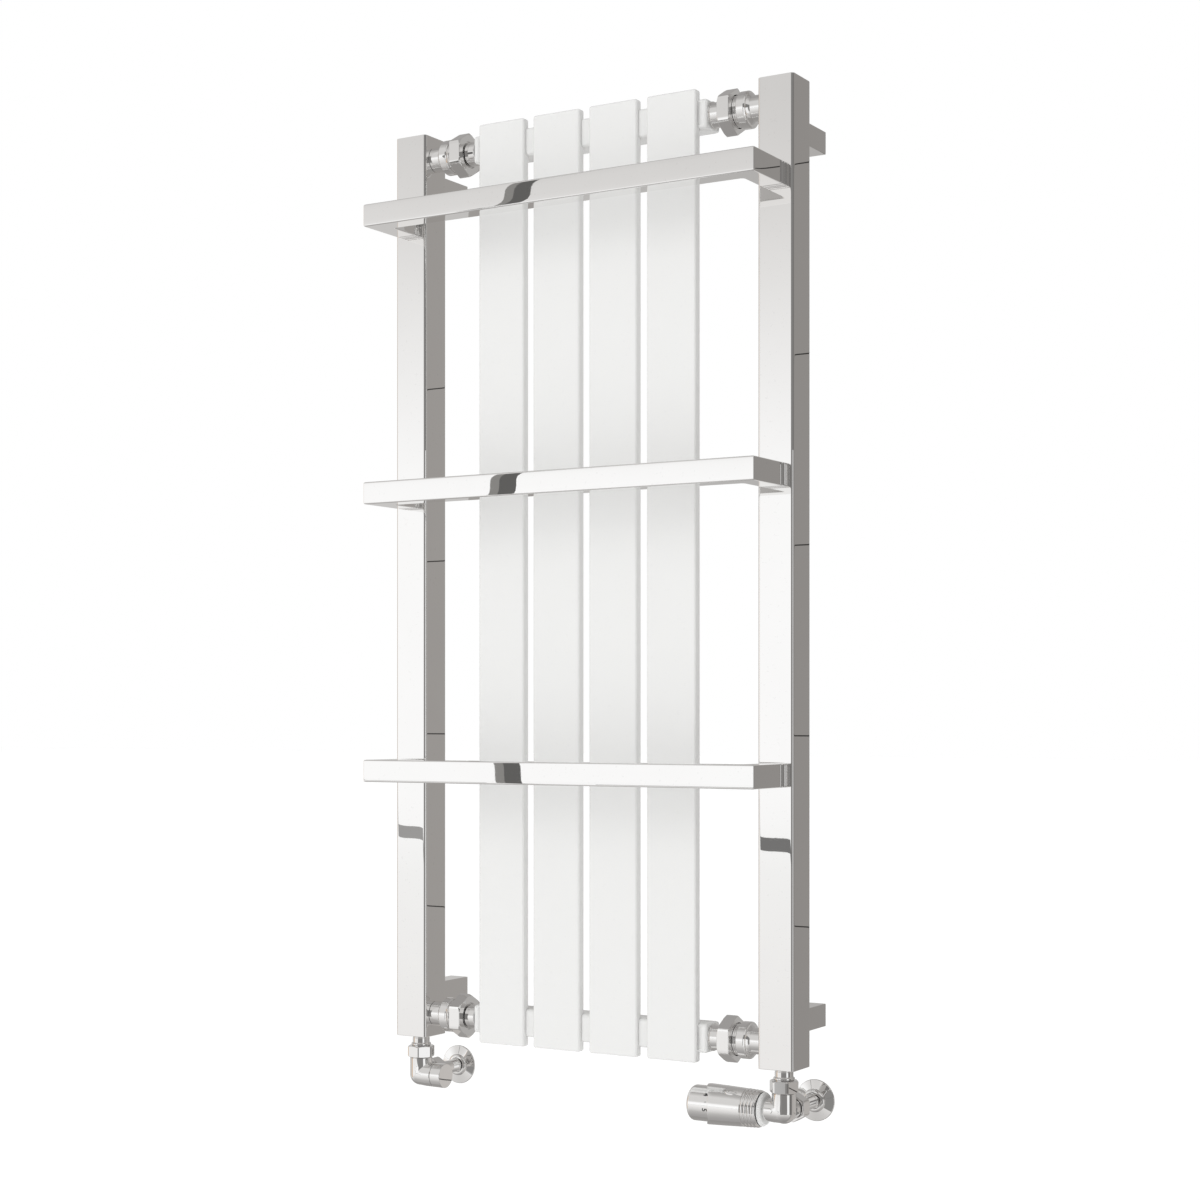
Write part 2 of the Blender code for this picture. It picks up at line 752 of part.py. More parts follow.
def build_thermostatic(x, inward, metal, plastic, brass, white):
    across = axis_frame((x, AXIS_Y, -VALVE_AXIS), (inward, 0.0, 0.0))
    pin_bore = PIN_RADIUS + PIN_CLEARANCE
    gland = turned(
        "trv_gland",
        [
            (pin_bore, GLAND_START),
            (GLAND_RADIUS, GLAND_START),
            (GLAND_RADIUS, GLAND_END),
            (pin_bore, GLAND_END),
        ],
        across,
    )
    pin = turned(
        "trv_pin",
        [
            (0.0, PIN_START),
            (DISC_RADIUS, PIN_START),
            (DISC_RADIUS, PIN_START + DISC_THICKNESS),
            (PIN_RADIUS, PIN_START + DISC_THICKNESS),
            (PIN_RADIUS, PIN_END),
            (0.0, PIN_END),
        ],
        across,
    )
    ring = turned(
        "trv_ring",
        [
            (GLAND_RADIUS + GAP, NECK_END + GAP),
            (RING_RADIUS_START, NECK_END + GAP),
            (RING_RADIUS_END, RING_END),
            (GLAND_RADIUS + GAP, RING_END),
        ],
        across,
    )
    core_start = RING_END + GAP
    core = turned(
        "trv_core",
        [
            (GLAND_RADIUS + GAP, core_start),
            (CORE_RADIUS, core_start),
            (CORE_RADIUS, CORE_STEP),
            (CORE_NECK, CORE_STEP),
            (CORE_NECK, CORE_END),
            (CORE_INNER, CORE_END),
            (CORE_INNER, GLAND_END),
            (GLAND_RADIUS + GAP, GLAND_END),
        ],
        across,
    )
    sensor = turned(
        "trv_sensor",
        [
            (0.0, PIN_END + GAP),
            (SENSOR_NOSE, PIN_END + GAP),
            (SENSOR_NOSE, SENSOR_START),
            (SENSOR_RADIUS, SENSOR_START),
            (SENSOR_RADIUS, SENSOR_END),
            (0.0, SENSOR_END),
        ],
        across,
    )
    outer = [(SLEEVE_INNER, core_start), (SLEEVE_RADIUS_START, core_start)]
    for index in range(RIB_COUNT):
        start = RIB_FIRST + RIB_PITCH * index
        outer.append((SLEEVE_RADIUS_START, start))
        outer.append((SLEEVE_RADIUS_START - RIB_DEPTH, start + RIB_PITCH * 0.15))
        outer.append((SLEEVE_RADIUS_START - RIB_DEPTH, start + RIB_PITCH * 0.35))
        outer.append((SLEEVE_RADIUS_START, start + RIB_PITCH * 0.5))
    outer.append((SLEEVE_RADIUS_END, SLEEVE_END))
    outer.append((SLEEVE_INNER, SLEEVE_END))
    sleeve = turned("trv_sleeve", outer, across)
    lean = math.radians(POINTER_ANGLE)
    facing = (0.0, -math.cos(lean), math.sin(lean))
    spot = Vector((x + inward * POINTER_CENTRE, AXIS_Y, -VALVE_AXIS))
    pointer_frame = axis_frame(spot, facing, up=(inward, 0.0, 0.0))
    slot = []
    for end in (1.0, -1.0):
        for step in range(5):
            angle = math.radians(-90.0 + 45.0 * step)
            along = (POINTER_LENGTH - POINTER_WIDTH) / 2 + POINTER_WIDTH / 2 * math.cos(angle)
            slot.append((end * along, end * POINTER_WIDTH / 2 * math.sin(angle)))
    top = SLEEVE_RADIUS_END + RIB_DEPTH * 0.2
    pointer = prism("pointer", slot, SLEEVE_INNER + RIB_DEPTH, top, pointer_frame)
    combine(sleeve, [pointer], "UNION")
    dial_profile = [
        (DIAL_INNER, SLEEVE_END + GAP),
        (DIAL_RADIUS, SLEEVE_END + GAP),
    ]
    for step in range(4):
        angle = math.radians(90.0 * step / 3)
        radius = DIAL_RADIUS - DIAL_ROUND + DIAL_ROUND * math.cos(angle)
        distance = DIAL_END - DIAL_ROUND + DIAL_ROUND * math.sin(angle)
        dial_profile.append((radius, distance))
    dial_profile.append((0.0, DIAL_END))
    dial_profile.append((0.0, DIAL_END - DIAL_WALL))
    dial_profile.append((DIAL_RADIUS - DIAL_ROUND, DIAL_END - DIAL_WALL))
    dial_profile.append((DIAL_INNER, DIAL_END - DIAL_ROUND))
    dial = turned("trv_dial", dial_profile, across)
    for moving in (pin, sensor, dial):
        set_origin(moving, (x, AXIS_Y, -VALVE_AXIS))
    return [
        finish(gland, brass),
        finish(pin, brass),
        finish(ring, metal),
        finish(core, plastic),
        finish(sensor, white),
        finish(sleeve, metal),
        finish(dial, metal),
    ]


def build_lockshield(x, inward, metal, brass):
    across = axis_frame((x, AXIS_Y, -VALVE_AXIS), (inward, 0.0, 0.0))
    spindle = turned(
        "lockshield_spindle",
        [
            (0.0, SPINDLE_START),
            (SPINDLE_RADIUS, SPINDLE_START),
            (SPINDLE_RADIUS, SPINDLE_SHOULDER),
            (0.0, SPINDLE_SHOULDER),
        ],
        across,
    )
    half = SPINDLE_SQUARE / 2
    square = [(half, half), (-half, half), (-half, -half), (half, -half)]
    overlap = SPINDLE_SHOULDER - SPINDLE_SQUARE / 2
    head = prism("spindle_square", square, overlap, SPINDLE_END, across)
    combine(spindle, [head], "UNION")
    cap = turned(
        "lockshield_cap",
        [
            (LOCK_CAP_INNER, LOCK_BODY_END + GAP),
            (LOCK_CAP_RADIUS, LOCK_BODY_END + GAP),
            (LOCK_CAP_RADIUS, LOCK_CAP_END),
            (0.0, LOCK_CAP_END),
            (0.0, LOCK_CAP_END - LOCK_CAP_WALL),
            (LOCK_CAP_INNER, LOCK_CAP_END - LOCK_CAP_WALL),
        ],
        across,
    )
    for moving in (spindle, cap):
        set_origin(moving, (x, AXIS_Y, -VALVE_AXIS))
    return [finish(spindle, brass), finish(cap, metal)]


def build_vent(x, metal, brass):
    back = axis_frame((x, POST_BACK, VENT_LEVEL), (0.0, 1.0, 0.0))
    plug = turned(
        "vent_plug",
        [
            (VENT_BORE, -VENT_SPIGOT_LENGTH),
            (VENT_SPIGOT, -VENT_SPIGOT_LENGTH),
            (VENT_SPIGOT, GAP),
            (VENT_FLANGE, GAP),
            (VENT_FLANGE, VENT_FLANGE_LENGTH),
            (VENT_BORE, VENT_FLANGE_LENGTH),
        ],
        back,
    )
    screw = cylinder(
        "vent_screw", VENT_SCREW, -VENT_SPIGOT_LENGTH, VENT_FLANGE_LENGTH + VENT_SCREW, back
    )
    half = VENT_HEAD
    square = [(half, half), (-half, half), (-half, -half), (half, -half)]
    start = VENT_FLANGE_LENGTH + GAP
    head = prism("vent_square", square, start, start + VENT_HEAD_LENGTH, back)
    combine(screw, [head], "UNION")
    set_origin(screw, (x, POST_BACK, VENT_LEVEL))
    return [finish(plug, metal), finish(screw, brass)]


def main():
    clear_scene()
    chrome = make_material("chrome", (0.78, 0.78, 0.79), 0.08, 1.0)
    enamel = make_material("white_enamel", (0.86, 0.86, 0.87), 0.32, 0.0)
    rubber = make_material("seal_rubber", (0.03, 0.03, 0.03), 0.7, 0.0)
    brass = make_material("valve_brass", (0.72, 0.55, 0.28), 0.3, 1.0)
    steel = make_material("zinc_steel", (0.55, 0.56, 0.57), 0.4, 1.0)
    copper = make_material("chromed_pipe", (0.74, 0.74, 0.75), 0.12, 1.0)
    plastic = make_material("head_plastic", (0.12, 0.12, 0.13), 0.5, 0.0)
    sensor_white = make_material("sensor_white", (0.8, 0.8, 0.78), 0.45, 0.0)

    sides = {"left": -POST_PITCH / 2, "right": POST_PITCH / 2}
    for side, x in sides.items():
        build_post(side, x, chrome)
    for level_name, level in HEADER_LEVELS.items():
        build_header(level_name, level, enamel)
    for index, x in enumerate(panel_centres()):
        build_panel(index, x, enamel)
    for index, name in enumerate(BAR_NAMES):
        level = BAR_FIRST + BAR_PITCH * index
        build_bar(name, level, chrome)
        for side, x in sides.items():
            build_neck(f"bar_neck_{name}_{side}", x, level, chrome)
    for side, x in sides.items():
        for level_name, level in BRACKET_LEVELS.items():
            build_bracket(f"{level_name}_{side}", x, level, chrome, steel)
        outward = 1.0 if x > 0 else -1.0
        for level_name, level in HEADER_LEVELS.items():
            end = outward * HEADER_LENGTH / 2
            build_union(f"{level_name}_{side}", end, outward, level, chrome, rubber)
        build_valve_tail(side, x, chrome)
        build_pipework(side, x, chrome, copper)

    head_branch = [
        (0.0, -BRANCH_START),
        (BRANCH_RADIUS, -BRANCH_START),
        (BRANCH_RADIUS, NECK_END),
        (0.0, NECK_END),
    ]
    lock_branch = [
        (0.0, -BRANCH_START),
        (LOCK_BODY_RADIUS, -BRANCH_START),
        (LOCK_BODY_RADIUS, LOCK_BODY_END),
        (LOCK_NECK_RADIUS, LOCK_BODY_END),
        (LOCK_NECK_RADIUS, LOCK_NECK_END),
        (0.0, LOCK_NECK_END),
    ]
    right, left = sides["right"], sides["left"]
    build_valve_body("right", right, -1.0, head_branch, BRANCH_BORE, chrome)
    build_valve_body("left", left, 1.0, lock_branch, LOCK_BORE, chrome)
    build_thermostatic(right, -1.0, chrome, plastic, brass, sensor_white)
    build_lockshield(left, 1.0, chrome, brass)
    build_vent(right, chrome, brass)


main()
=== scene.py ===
import json
import math

import bmesh
import bpy
from mathutils import Matrix, Vector


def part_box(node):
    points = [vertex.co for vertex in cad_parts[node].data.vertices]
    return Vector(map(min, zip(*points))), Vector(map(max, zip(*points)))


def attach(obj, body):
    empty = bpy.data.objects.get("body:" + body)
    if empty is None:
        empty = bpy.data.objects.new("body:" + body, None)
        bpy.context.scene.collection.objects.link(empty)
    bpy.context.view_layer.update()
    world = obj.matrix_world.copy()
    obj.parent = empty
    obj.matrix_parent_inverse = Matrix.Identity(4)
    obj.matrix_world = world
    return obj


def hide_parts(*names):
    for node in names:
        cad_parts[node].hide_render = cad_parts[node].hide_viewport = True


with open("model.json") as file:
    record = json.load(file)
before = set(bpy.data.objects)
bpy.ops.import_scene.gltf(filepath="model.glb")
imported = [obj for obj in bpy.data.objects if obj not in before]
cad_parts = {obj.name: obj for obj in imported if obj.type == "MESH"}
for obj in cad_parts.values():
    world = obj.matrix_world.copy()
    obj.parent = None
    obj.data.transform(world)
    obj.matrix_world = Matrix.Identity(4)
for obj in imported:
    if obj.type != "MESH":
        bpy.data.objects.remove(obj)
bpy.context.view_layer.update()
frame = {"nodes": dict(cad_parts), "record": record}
print("frame loaded")

# Heights and places that several pieces share, all taken from the frame
postLow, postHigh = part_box("post_right")
postX = (postLow.x + postHigh.x) / 2
axisY = (postLow.y + postHigh.y) / 2
postTop = postHigh.z
postFront = postLow.y
postBack = postHigh.y
valveZ = -0.044
sides = {"left": -postX, "right": postX}
levels = {}
for levelName in ("bottom", "top"):
    low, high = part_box("post_tail_" + levelName + "_right")
    levels[levelName] = (low.z + high.z) / 2


# mesh helpers


def axisFrame(origin, direction, up=(0.0, 0.0, 1.0)):
    z = Vector(direction).normalized()
    x = Vector(up)
    if abs(x.dot(z)) > 0.9:
        x = Vector((0.0, -1.0, 0.0))
    x = (x - z * x.dot(z)).normalized()
    matrix = Matrix((x, z.cross(x), z)).transposed().to_4x4()
    matrix.translation = Vector(origin)
    return matrix


def newObject(name, bm, matrix=None):
    bmesh.ops.recalc_face_normals(bm, faces=bm.faces)
    if matrix is not None:
        bm.transform(matrix)
    mesh = bpy.data.meshes.new(name)
    bm.to_mesh(mesh)
    bm.free()
    obj = bpy.data.objects.new(name, mesh)
    bpy.context.scene.collection.objects.link(obj)
    return obj


def applied(obj):
    # the evaluated shape becomes the object's own mesh
    depsgraph = bpy.context.evaluated_depsgraph_get()
    depsgraph.update()
    mesh = bpy.data.meshes.new_from_object(obj.evaluated_get(depsgraph), depsgraph=depsgraph)
    obj.modifiers.clear()
    obj.data = mesh
    return obj


def smoothShaded(obj, angle=38.0):
    # big flats keep their own normals, so that reflections on them stay straight
    obj.data.shade_smooth()
    obj.data.set_sharp_from_angle(angle=math.radians(angle))
    weighted = obj.modifiers.new("weighted", "WEIGHTED_NORMAL")
    weighted.mode = "FACE_AREA"
    weighted.weight = 80
    weighted.keep_sharp = True
    return applied(obj)


def roundedCorners(profile, radius, steps=3):
    # replaces each sharp corner of a closed profile by a small arc
    points = []
    count = len(profile)
    for index in range(count):
        before = Vector(profile[index - 1])
        here = Vector(profile[index])
        after = Vector(profile[(index + 1) % count])
        toBefore = before - here
        toAfter = after - here
        if here.x < 1e-6 or toBefore.length < 1e-7 or toAfter.length < 1e-7:
            points.append(here)
            continue
        bend = toBefore.angle(toAfter)
        if bend > math.radians(160.0):
            points.append(here)
            continue
        reach = min(radius, toBefore.length * 0.45, toAfter.length * 0.45)
        start = here + toBefore.normalized() * reach
        end = here + toAfter.normalized() * reach
        for step in range(steps + 1):
            t = step / steps
            points.append(start * (1 - t) ** 2 + here * 2 * t * (1 - t) + end * t ** 2)
    return [(point.x, point.y) for point in points]


def turned(name, profile, matrix, rounding=0.0004, segments=72, phase=0.0):
    # a (radius, distance) profile turned about the matrix's own Z
    bm = bmesh.new()
    loop = roundedCorners(profile, rounding) if rounding else profile
    rings = []
    for radius, distance in loop:
        if radius < 1e-6:
            rings.append([bm.verts.new((0.0, 0.0, distance))])
            continue
        ring = []
        for step in range(segments):
            angle = math.tau * step / segments + phase
            ring.append(
                bm.verts.new((radius * math.cos(angle), radius * math.sin(angle), distance))
            )
        rings.append(ring)
    bridgeRings(bm, rings, segments)
    return newObject(name, bm, matrix)


def bridgeRings(bm, rings, segments):
    for index, ring in enumerate(rings):
        other = rings[(index + 1) % len(rings)]
        for step in range(segments):
            after = (step + 1) % segments
            if len(ring) == 1 and len(other) == 1:
                break
            if len(ring) == 1:
                bm.faces.new((ring[0], other[step], other[after]))
            elif len(other) == 1:
                bm.faces.new((ring[step], other[0], ring[after]))
            else:
                bm.faces.new((ring[step], other[step], other[after], ring[after]))


def skinRings(bm, rings):
    # rings joined one to the next, closed at both ends
    count = len(rings[0])
    for ring, other in zip(rings, rings[1:]):
        for step in range(count):
            after = (step + 1) % count
            bm.faces.new((ring[step], other[step], other[after], ring[after]))
    bm.faces.new(rings[0])
    bm.faces.new(rings[-1])


def roundedBox(name, low, high, radius, segments=4):
    bm = bmesh.new()
    corners = []
    for x in (low[0], high[0]):
        for y in (low[1], high[1]):
            for z in (low[2], high[2]):
                corners.append(bm.verts.new((x, y, z)))
    for quad in (
        (0, 1, 3, 2), (4, 6, 7, 5), (0, 4, 5, 1), (2, 3, 7, 6), (0, 2, 6, 4), (1, 5, 7, 3)
    ):
        bm.faces.new([corners[index] for index in quad])
    bmesh.ops.bevel(
        bm, geom=bm.edges[:], offset=radius, segments=segments, profile=0.5,
        affect="EDGES", clamp_overlap=True,
    )
    return newObject(name, bm)


def hexNut(name, flats, start, length, webBore, bore, web, matrix, cuts=(1.03, 1.11), segments=96):
    # cuts are the chamfer circles at both ends, as shares of the width across flats
    bm = bmesh.new()
    end = start + length
    slope = math.tan(math.radians(30.0))
    rim = 0.0003
    corner = flats / 2 / math.cos(math.radians(30.0)) - rim
    rings = [[] for _ in range(12)]
    for step in range(segments):
        angle = math.tau * step / segments
        around = (angle % math.radians(60.0)) - math.radians(30.0)
        hexagon = min(flats / 2 / math.cos(around), corner)
        drops = []
        for share in cuts:
            chamfer = min(flats / 2 * share, hexagon - rim)
            drops.append((chamfer, (hexagon - chamfer) * slope))
        (nearCut, nearDrop), (farCut, farDrop) = drops
        loop = (
            (min(nearCut, flats / 2 * 0.97) - rim, start),
            (nearCut, start + rim * 0.4),
            (hexagon - rim * 0.3, start + rim * 0.4 + nearDrop),
            (hexagon, start + nearDrop + rim),
            (hexagon, end - farDrop - rim),
            (hexagon - rim * 0.3, end - rim * 0.4 - farDrop),
            (farCut, end - rim * 0.4),
            (min(farCut, flats / 2 * 0.97) - rim, end),
            (bore, end),
            (bore, start + web),
            (webBore, start + web),
            (webBore, start),
        )
        for ring, (radius, distance) in zip(rings, loop):
            ring.append(
                bm.verts.new((radius * math.cos(angle), radius * math.sin(angle), distance))
            )
    bridgeRings(bm, rings, segments)
    return newObject(name, bm, matrix)


def joinedShape(target, tools, operation):
    for tool in tools:
        boolean = target.modifiers.new("cut", "BOOLEAN")
        boolean.operation = operation
        boolean.solver = "EXACT"
        boolean.object = tool
        applied(target)
        bpy.data.objects.remove(tool, do_unlink=True)
    return target


def settle(obj, material, body, slotName, *nodes):
    obj.data.materials.clear()
    obj.data.materials.append(material)
    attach(obj, body)
    if nodes:
        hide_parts(*nodes)
    return obj


# node trees and the shader effects that finishes share


def addNode(tree, kind, values=None, **settings):
    node = tree.nodes.new(kind)
    for name, value in settings.items():
        setattr(node, name, value)
    for label, value in (values or {}).items():
        node.inputs[label].default_value = value
    return node


def wire(tree, *rows):
    # a row is a node and its output, then a node and its input
    for source, output, target, entry in rows:
        tree.links.new(source.outputs[output], target.inputs[entry])


def groupWith(name, kind, inputs, outputs):
    tree = bpy.data.node_groups.new(name, kind)
    for label, socketKind, value in inputs:
        socket = tree.interface.new_socket(
            label, in_out="INPUT", socket_type="NodeSocket" + socketKind
        )
        if value is not None:
            socket.default_value = value
    for label, socketKind in outputs:
        tree.interface.new_socket(label, in_out="OUTPUT", socket_type="NodeSocket" + socketKind)
    return tree, tree.nodes.new("NodeGroupInput"), tree.nodes.new("NodeGroupOutput")


def newMaterial(name):
    material = bpy.data.materials.new(name)
    material.use_nodes = True
    return material, material.node_tree


def makeHandlingGroup():
    # faint smears and specks that handling and dust leave on a polished part
    tree, inn, out = groupWith(
        "handling marks", "ShaderNodeTree",
        [("Scale", "Float", 30.0), ("Low", "Float", 0.05), ("High", "Float", 0.1),
         ("Specks", "Float", 400.0)],
        [("Roughness", "Float"), ("Smear", "Float"), ("Speck", "Float")],
    )
    place = addNode(tree, "ShaderNodeTexCoord")
    smear = addNode(tree, "ShaderNodeTexNoise", {"Detail": 5.0, "Distortion": 0.6})
    spread = addNode(tree, "ShaderNodeMapRange", {"From Min": 0.35, "From Max": 0.68})
    speck = addNode(tree, "ShaderNodeTexNoise", {"Detail": 2.0})
    pick = addNode(tree, "ShaderNodeMapRange", {"From Min": 0.66, "From Max": 0.72})
    wire(
        tree, (place, "Object", smear, "Vector"), (inn, "Scale", smear, "Scale"),
        (smear, "Fac", spread, "Value"), (inn, "Low", spread, "To Min"),
        (inn, "High", spread, "To Max"), (place, "Object", speck, "Vector"),
        (inn, "Specks", speck, "Scale"), (speck, "Fac", pick, "Value"),
        (spread, "Result", out, "Roughness"), (smear, "Fac", out, "Smear"),
        (pick, "Result", out, "Speck"),
    )
    return tree


def makeGrainGroup():
    # two sizes of unevenness: the sprayed or plated skin and its fine grain
    tree, inn, out = groupWith(
        "skin grain", "ShaderNodeTree",
        [("Coarse", "Float", 120.0), ("Fine", "Float", 900.0), ("Mix", "Float", 0.3)],
        [("Height", "Float")],
    )
    place = addNode(tree, "ShaderNodeTexCoord")
    coarse = addNode(tree, "ShaderNodeTexNoise", {"Detail": 2.0})
    fine = addNode(tree, "ShaderNodeTexNoise", {"Detail": 3.0})
    blend = addNode(tree, "ShaderNodeMix", data_type="FLOAT")
    for node, label in ((coarse, "Coarse"), (fine, "Fine")):
        wire(tree, (place, "Object", node, "Vector"), (inn, label, node, "Scale"))
    wire(
        tree, (inn, "Mix", blend, "Factor"), (coarse, "Fac", blend, 2), (fine, "Fac", blend, 3),
        (blend, 0, out, "Height"),
    )
    return tree


handlingGroup = makeHandlingGroup()
grainGroup = makeGrainGroup()


def finishMaterial(name, settings):
    material, tree = newMaterial(name)
    shader = tree.nodes["Principled BSDF"]
    shader.inputs["Metallic"].default_value = settings["metallic"]
    for label, value in settings["fixed"].items():
        shader.inputs[label].default_value = value
    marks = addNode(tree, "ShaderNodeGroup", {
        "Scale": settings["smearScale"], "Low": settings["roughLow"],
        "High": settings["roughHigh"], "Specks": settings["speckScale"],
    }, node_tree=handlingGroup)
    tint = addNode(tree, "ShaderNodeMix", {
        6: (*settings["colour"], 1.0), 7: (*settings["colourB"], 1.0),
    }, data_type="RGBA")
    dust = addNode(tree, "ShaderNodeMix", {7: (*settings["speckColour"], 1.0)}, data_type="RGBA")
    grain = addNode(tree, "ShaderNodeGroup", {
        "Coarse": settings["coarse"], "Fine": settings["fine"], "Mix": settings["grainMix"],
    }, node_tree=grainGroup)
    bump = addNode(tree, "ShaderNodeBump", {
        "Strength": settings["bump"], "Distance": settings["bumpDepth"],
    })
    wire(
        tree, (marks, "Roughness", shader, "Roughness"), (marks, "Smear", tint, "Factor"),
        (marks, "Speck", dust, "Factor"), (tint, 2, dust, 6), (dust, 2, shader, "Base Color"),
        (grain, "Height", bump, "Height"), (bump, "Normal", shader, "Normal"),
    )
    material.diffuse_color = (*settings["colour"], 1.0)
    return material


# what a finish leaves out is as here
finishDefaults = {"metallic": 0.0, "grainMix": 0.5, "bumpDepth": 0.0002, "fixed": {}}
finishes = {
    "polishedChrome": {
        "metallic": 1.0, "colour": (0.93, 0.925, 0.92), "colourB": (0.9, 0.895, 0.89),
        "speckColour": (0.88, 0.875, 0.87), "smearScale": 14.0, "speckScale": 300.0,
        "roughLow": 0.003, "roughHigh": 0.01, "coarse": 9.0, "fine": 260.0, "grainMix": 0.02,
        "bump": 0.03, "bumpDepth": 0.0003,
    },
    "headChrome": {
        "metallic": 1.0, "colour": (0.96, 0.955, 0.95), "colourB": (0.94, 0.935, 0.93),
        "speckColour": (0.92, 0.915, 0.91), "smearScale": 40.0, "speckScale": 400.0,
        "roughLow": 0.075, "roughHigh": 0.1, "coarse": 60.0, "fine": 500.0, "grainMix": 0.02,
        "bump": 0.03, "bumpDepth": 0.0003,
    },
    "ringWhite": {
        "colour": (0.8, 0.8, 0.79), "colourB": (0.76, 0.76, 0.75),
        "speckColour": (0.7, 0.7, 0.69), "smearScale": 60.0, "speckScale": 500.0,
        "roughLow": 0.28, "roughHigh": 0.4, "coarse": 200.0, "fine": 1500.0, "bump": 0.15,
        "bumpDepth": 0.0003,
    },
    "whiteEnamel": {
        "colour": (0.8, 0.8, 0.79), "colourB": (0.79, 0.79, 0.78),
        "speckColour": (0.78, 0.78, 0.77), "smearScale": 30.0, "speckScale": 260.0,
        "roughLow": 0.24, "roughHigh": 0.27, "coarse": 260.0, "fine": 1400.0, "grainMix": 0.3,
        "bump": 0.05, "bumpDepth": 0.0003, "fixed": {"Coat Weight": 0.35, "Coat Roughness": 0.12},
    },
    "sealRubber": {
        "colour": (0.03, 0.03, 0.03), "colourB": (0.05, 0.05, 0.05),
        "speckColour": (0.1, 0.1, 0.1), "smearScale": 80.0, "speckScale": 600.0, "roughLow": 0.6,
        "roughHigh": 0.8, "coarse": 400.0, "fine": 1500.0, "grainMix": 0.4, "bump": 0.3,
    },
    "turnedBrass": {
        "metallic": 1.0, "colour": (0.78, 0.6, 0.3), "colourB": (0.66, 0.48, 0.22),
        "speckColour": (0.5, 0.36, 0.18), "smearScale": 70.0, "speckScale": 700.0,
        "roughLow": 0.2, "roughHigh": 0.38, "coarse": 300.0, "fine": 1800.0, "bump": 0.2,
    },
    "zincSteel": {
        "metallic": 1.0, "colour": (0.6, 0.61, 0.62), "colourB": (0.5, 0.5, 0.52),
        "speckColour": (0.72, 0.72, 0.7), "smearScale": 90.0, "speckScale": 500.0,
        "roughLow": 0.3, "roughHigh": 0.5, "coarse": 250.0, "fine": 1600.0, "bump": 0.2,
    },
    "headPlastic": {
        "colour": (0.1, 0.1, 0.105), "colourB": (0.13, 0.13, 0.135),
        "speckColour": (0.18, 0.18, 0.18), "smearScale": 60.0, "speckScale": 500.0,
        "roughLow": 0.4, "roughHigh": 0.55, "coarse": 300.0, "fine": 1800.0, "bump": 0.25,
    },
    "sensorWhite": {
        "colour": (0.8, 0.8, 0.78), "colourB": (0.74, 0.74, 0.72),
        "speckColour": (0.7, 0.7, 0.68), "smearScale": 60.0, "speckScale": 500.0,
        "roughLow": 0.35, "roughHigh": 0.5, "coarse": 300.0, "fine": 1800.0, "bump": 0.25,
    },
    "printedBlack": {
        "colour": (0.012, 0.012, 0.012), "colourB": (0.03, 0.03, 0.03),
        "speckColour": (0.05, 0.05, 0.05), "smearScale": 200.0, "speckScale": 900.0,
        "roughLow": 0.3, "roughHigh": 0.5, "coarse": 500.0, "fine": 2000.0, "bump": 0.1,
        "bumpDepth": 0.0001,
    },
}
materials = {}
for name, settings in finishes.items():
    materials[name] = finishMaterial(name, {**finishDefaults, **settings})
chrome = materials["polishedChrome"]
ringWhite = materials["ringWhite"]
headChrome = materials["headChrome"]
enamel = materials["whiteEnamel"]
print("finishes made")

# CAD nodes that keep their own shape take these finishes
carriedOver = {
    "seal_rubber": "sealRubber", "valve_brass": "turnedBrass", "zinc_steel": "zincSteel",
    "head_plastic": "headPlastic", "sensor_white": "sensorWhite",
}
for part in frame["record"]["subparts"]:
    finishName = carriedOver.get(part["material_slot"])
    if finishName:
        node = frame["nodes"][part["node"]]
        node.data.materials.clear()
        node.data.materials.append(materials[finishName])


# posts and brackets


def squareSection(half, radius, steps, crown=0.0):
    # drawn tube: flat in the middle of a face, falling away a little towards its round edges
    points = []
    limit = 1.0 - radius / half
    fall = crown * limit ** 5.5
    inner = half - radius - fall
    for quarter, (sx, sy) in enumerate(((1, 1), (-1, 1), (-1, -1), (1, -1))):
        for step in range(steps + 1):
            angle = math.radians(90.0 * (quarter + step / steps))
            points.append((
                sx * inner + radius * math.cos(angle), sy * inner + radius * math.sin(angle),
            ))
        turn = math.radians(90.0 * (quarter + 1))
        c, s = math.cos(turn), math.sin(turn)
        for share in (0.97, 0.88, 0.7, 0.4, 0.0, -0.4, -0.7, -0.88, -0.97):
            out = half - crown * abs(share * limit) ** 5.5
            along = -share * inner
            points.append((c * out - s * along, s * out + c * along))
    return points


postLook = {
    "edge": 0.0028, "edgeSteps": 6, "crown": 0.0001, "capEdge": 0.0007, "bracketEdge": 0.0008,
    "mouth": 0.0088, "mouthDepth": 0.024,
}


def makePost(side, x):
    # long edges are round, as on drawn tube, and the welded ends are nearly sharp
    half = (postHigh.x - postLow.x) / 2
    radius = postLook["edge"]
    cap = postLook["capEdge"]
    bm = bmesh.new()
    rings = []
    for z, inset in ((0.0, cap), (cap * 0.3, cap * 0.3), (cap, 0.0),
                     (postTop - cap, 0.0), (postTop - cap * 0.3, cap * 0.3), (postTop, cap)):
        outline = squareSection(half - inset, radius - inset * 0.5, postLook["edgeSteps"],
                                postLook["crown"])
        ring = [bm.verts.new((x + px, axisY + py, z)) for px, py in outline]
        rings.append(ring)
    skinRings(bm, rings)
    post = smoothShaded(newObject("post_tube_" + side, bm))
    return settle(post, chrome, "radiator", "chrome", "post_" + side)


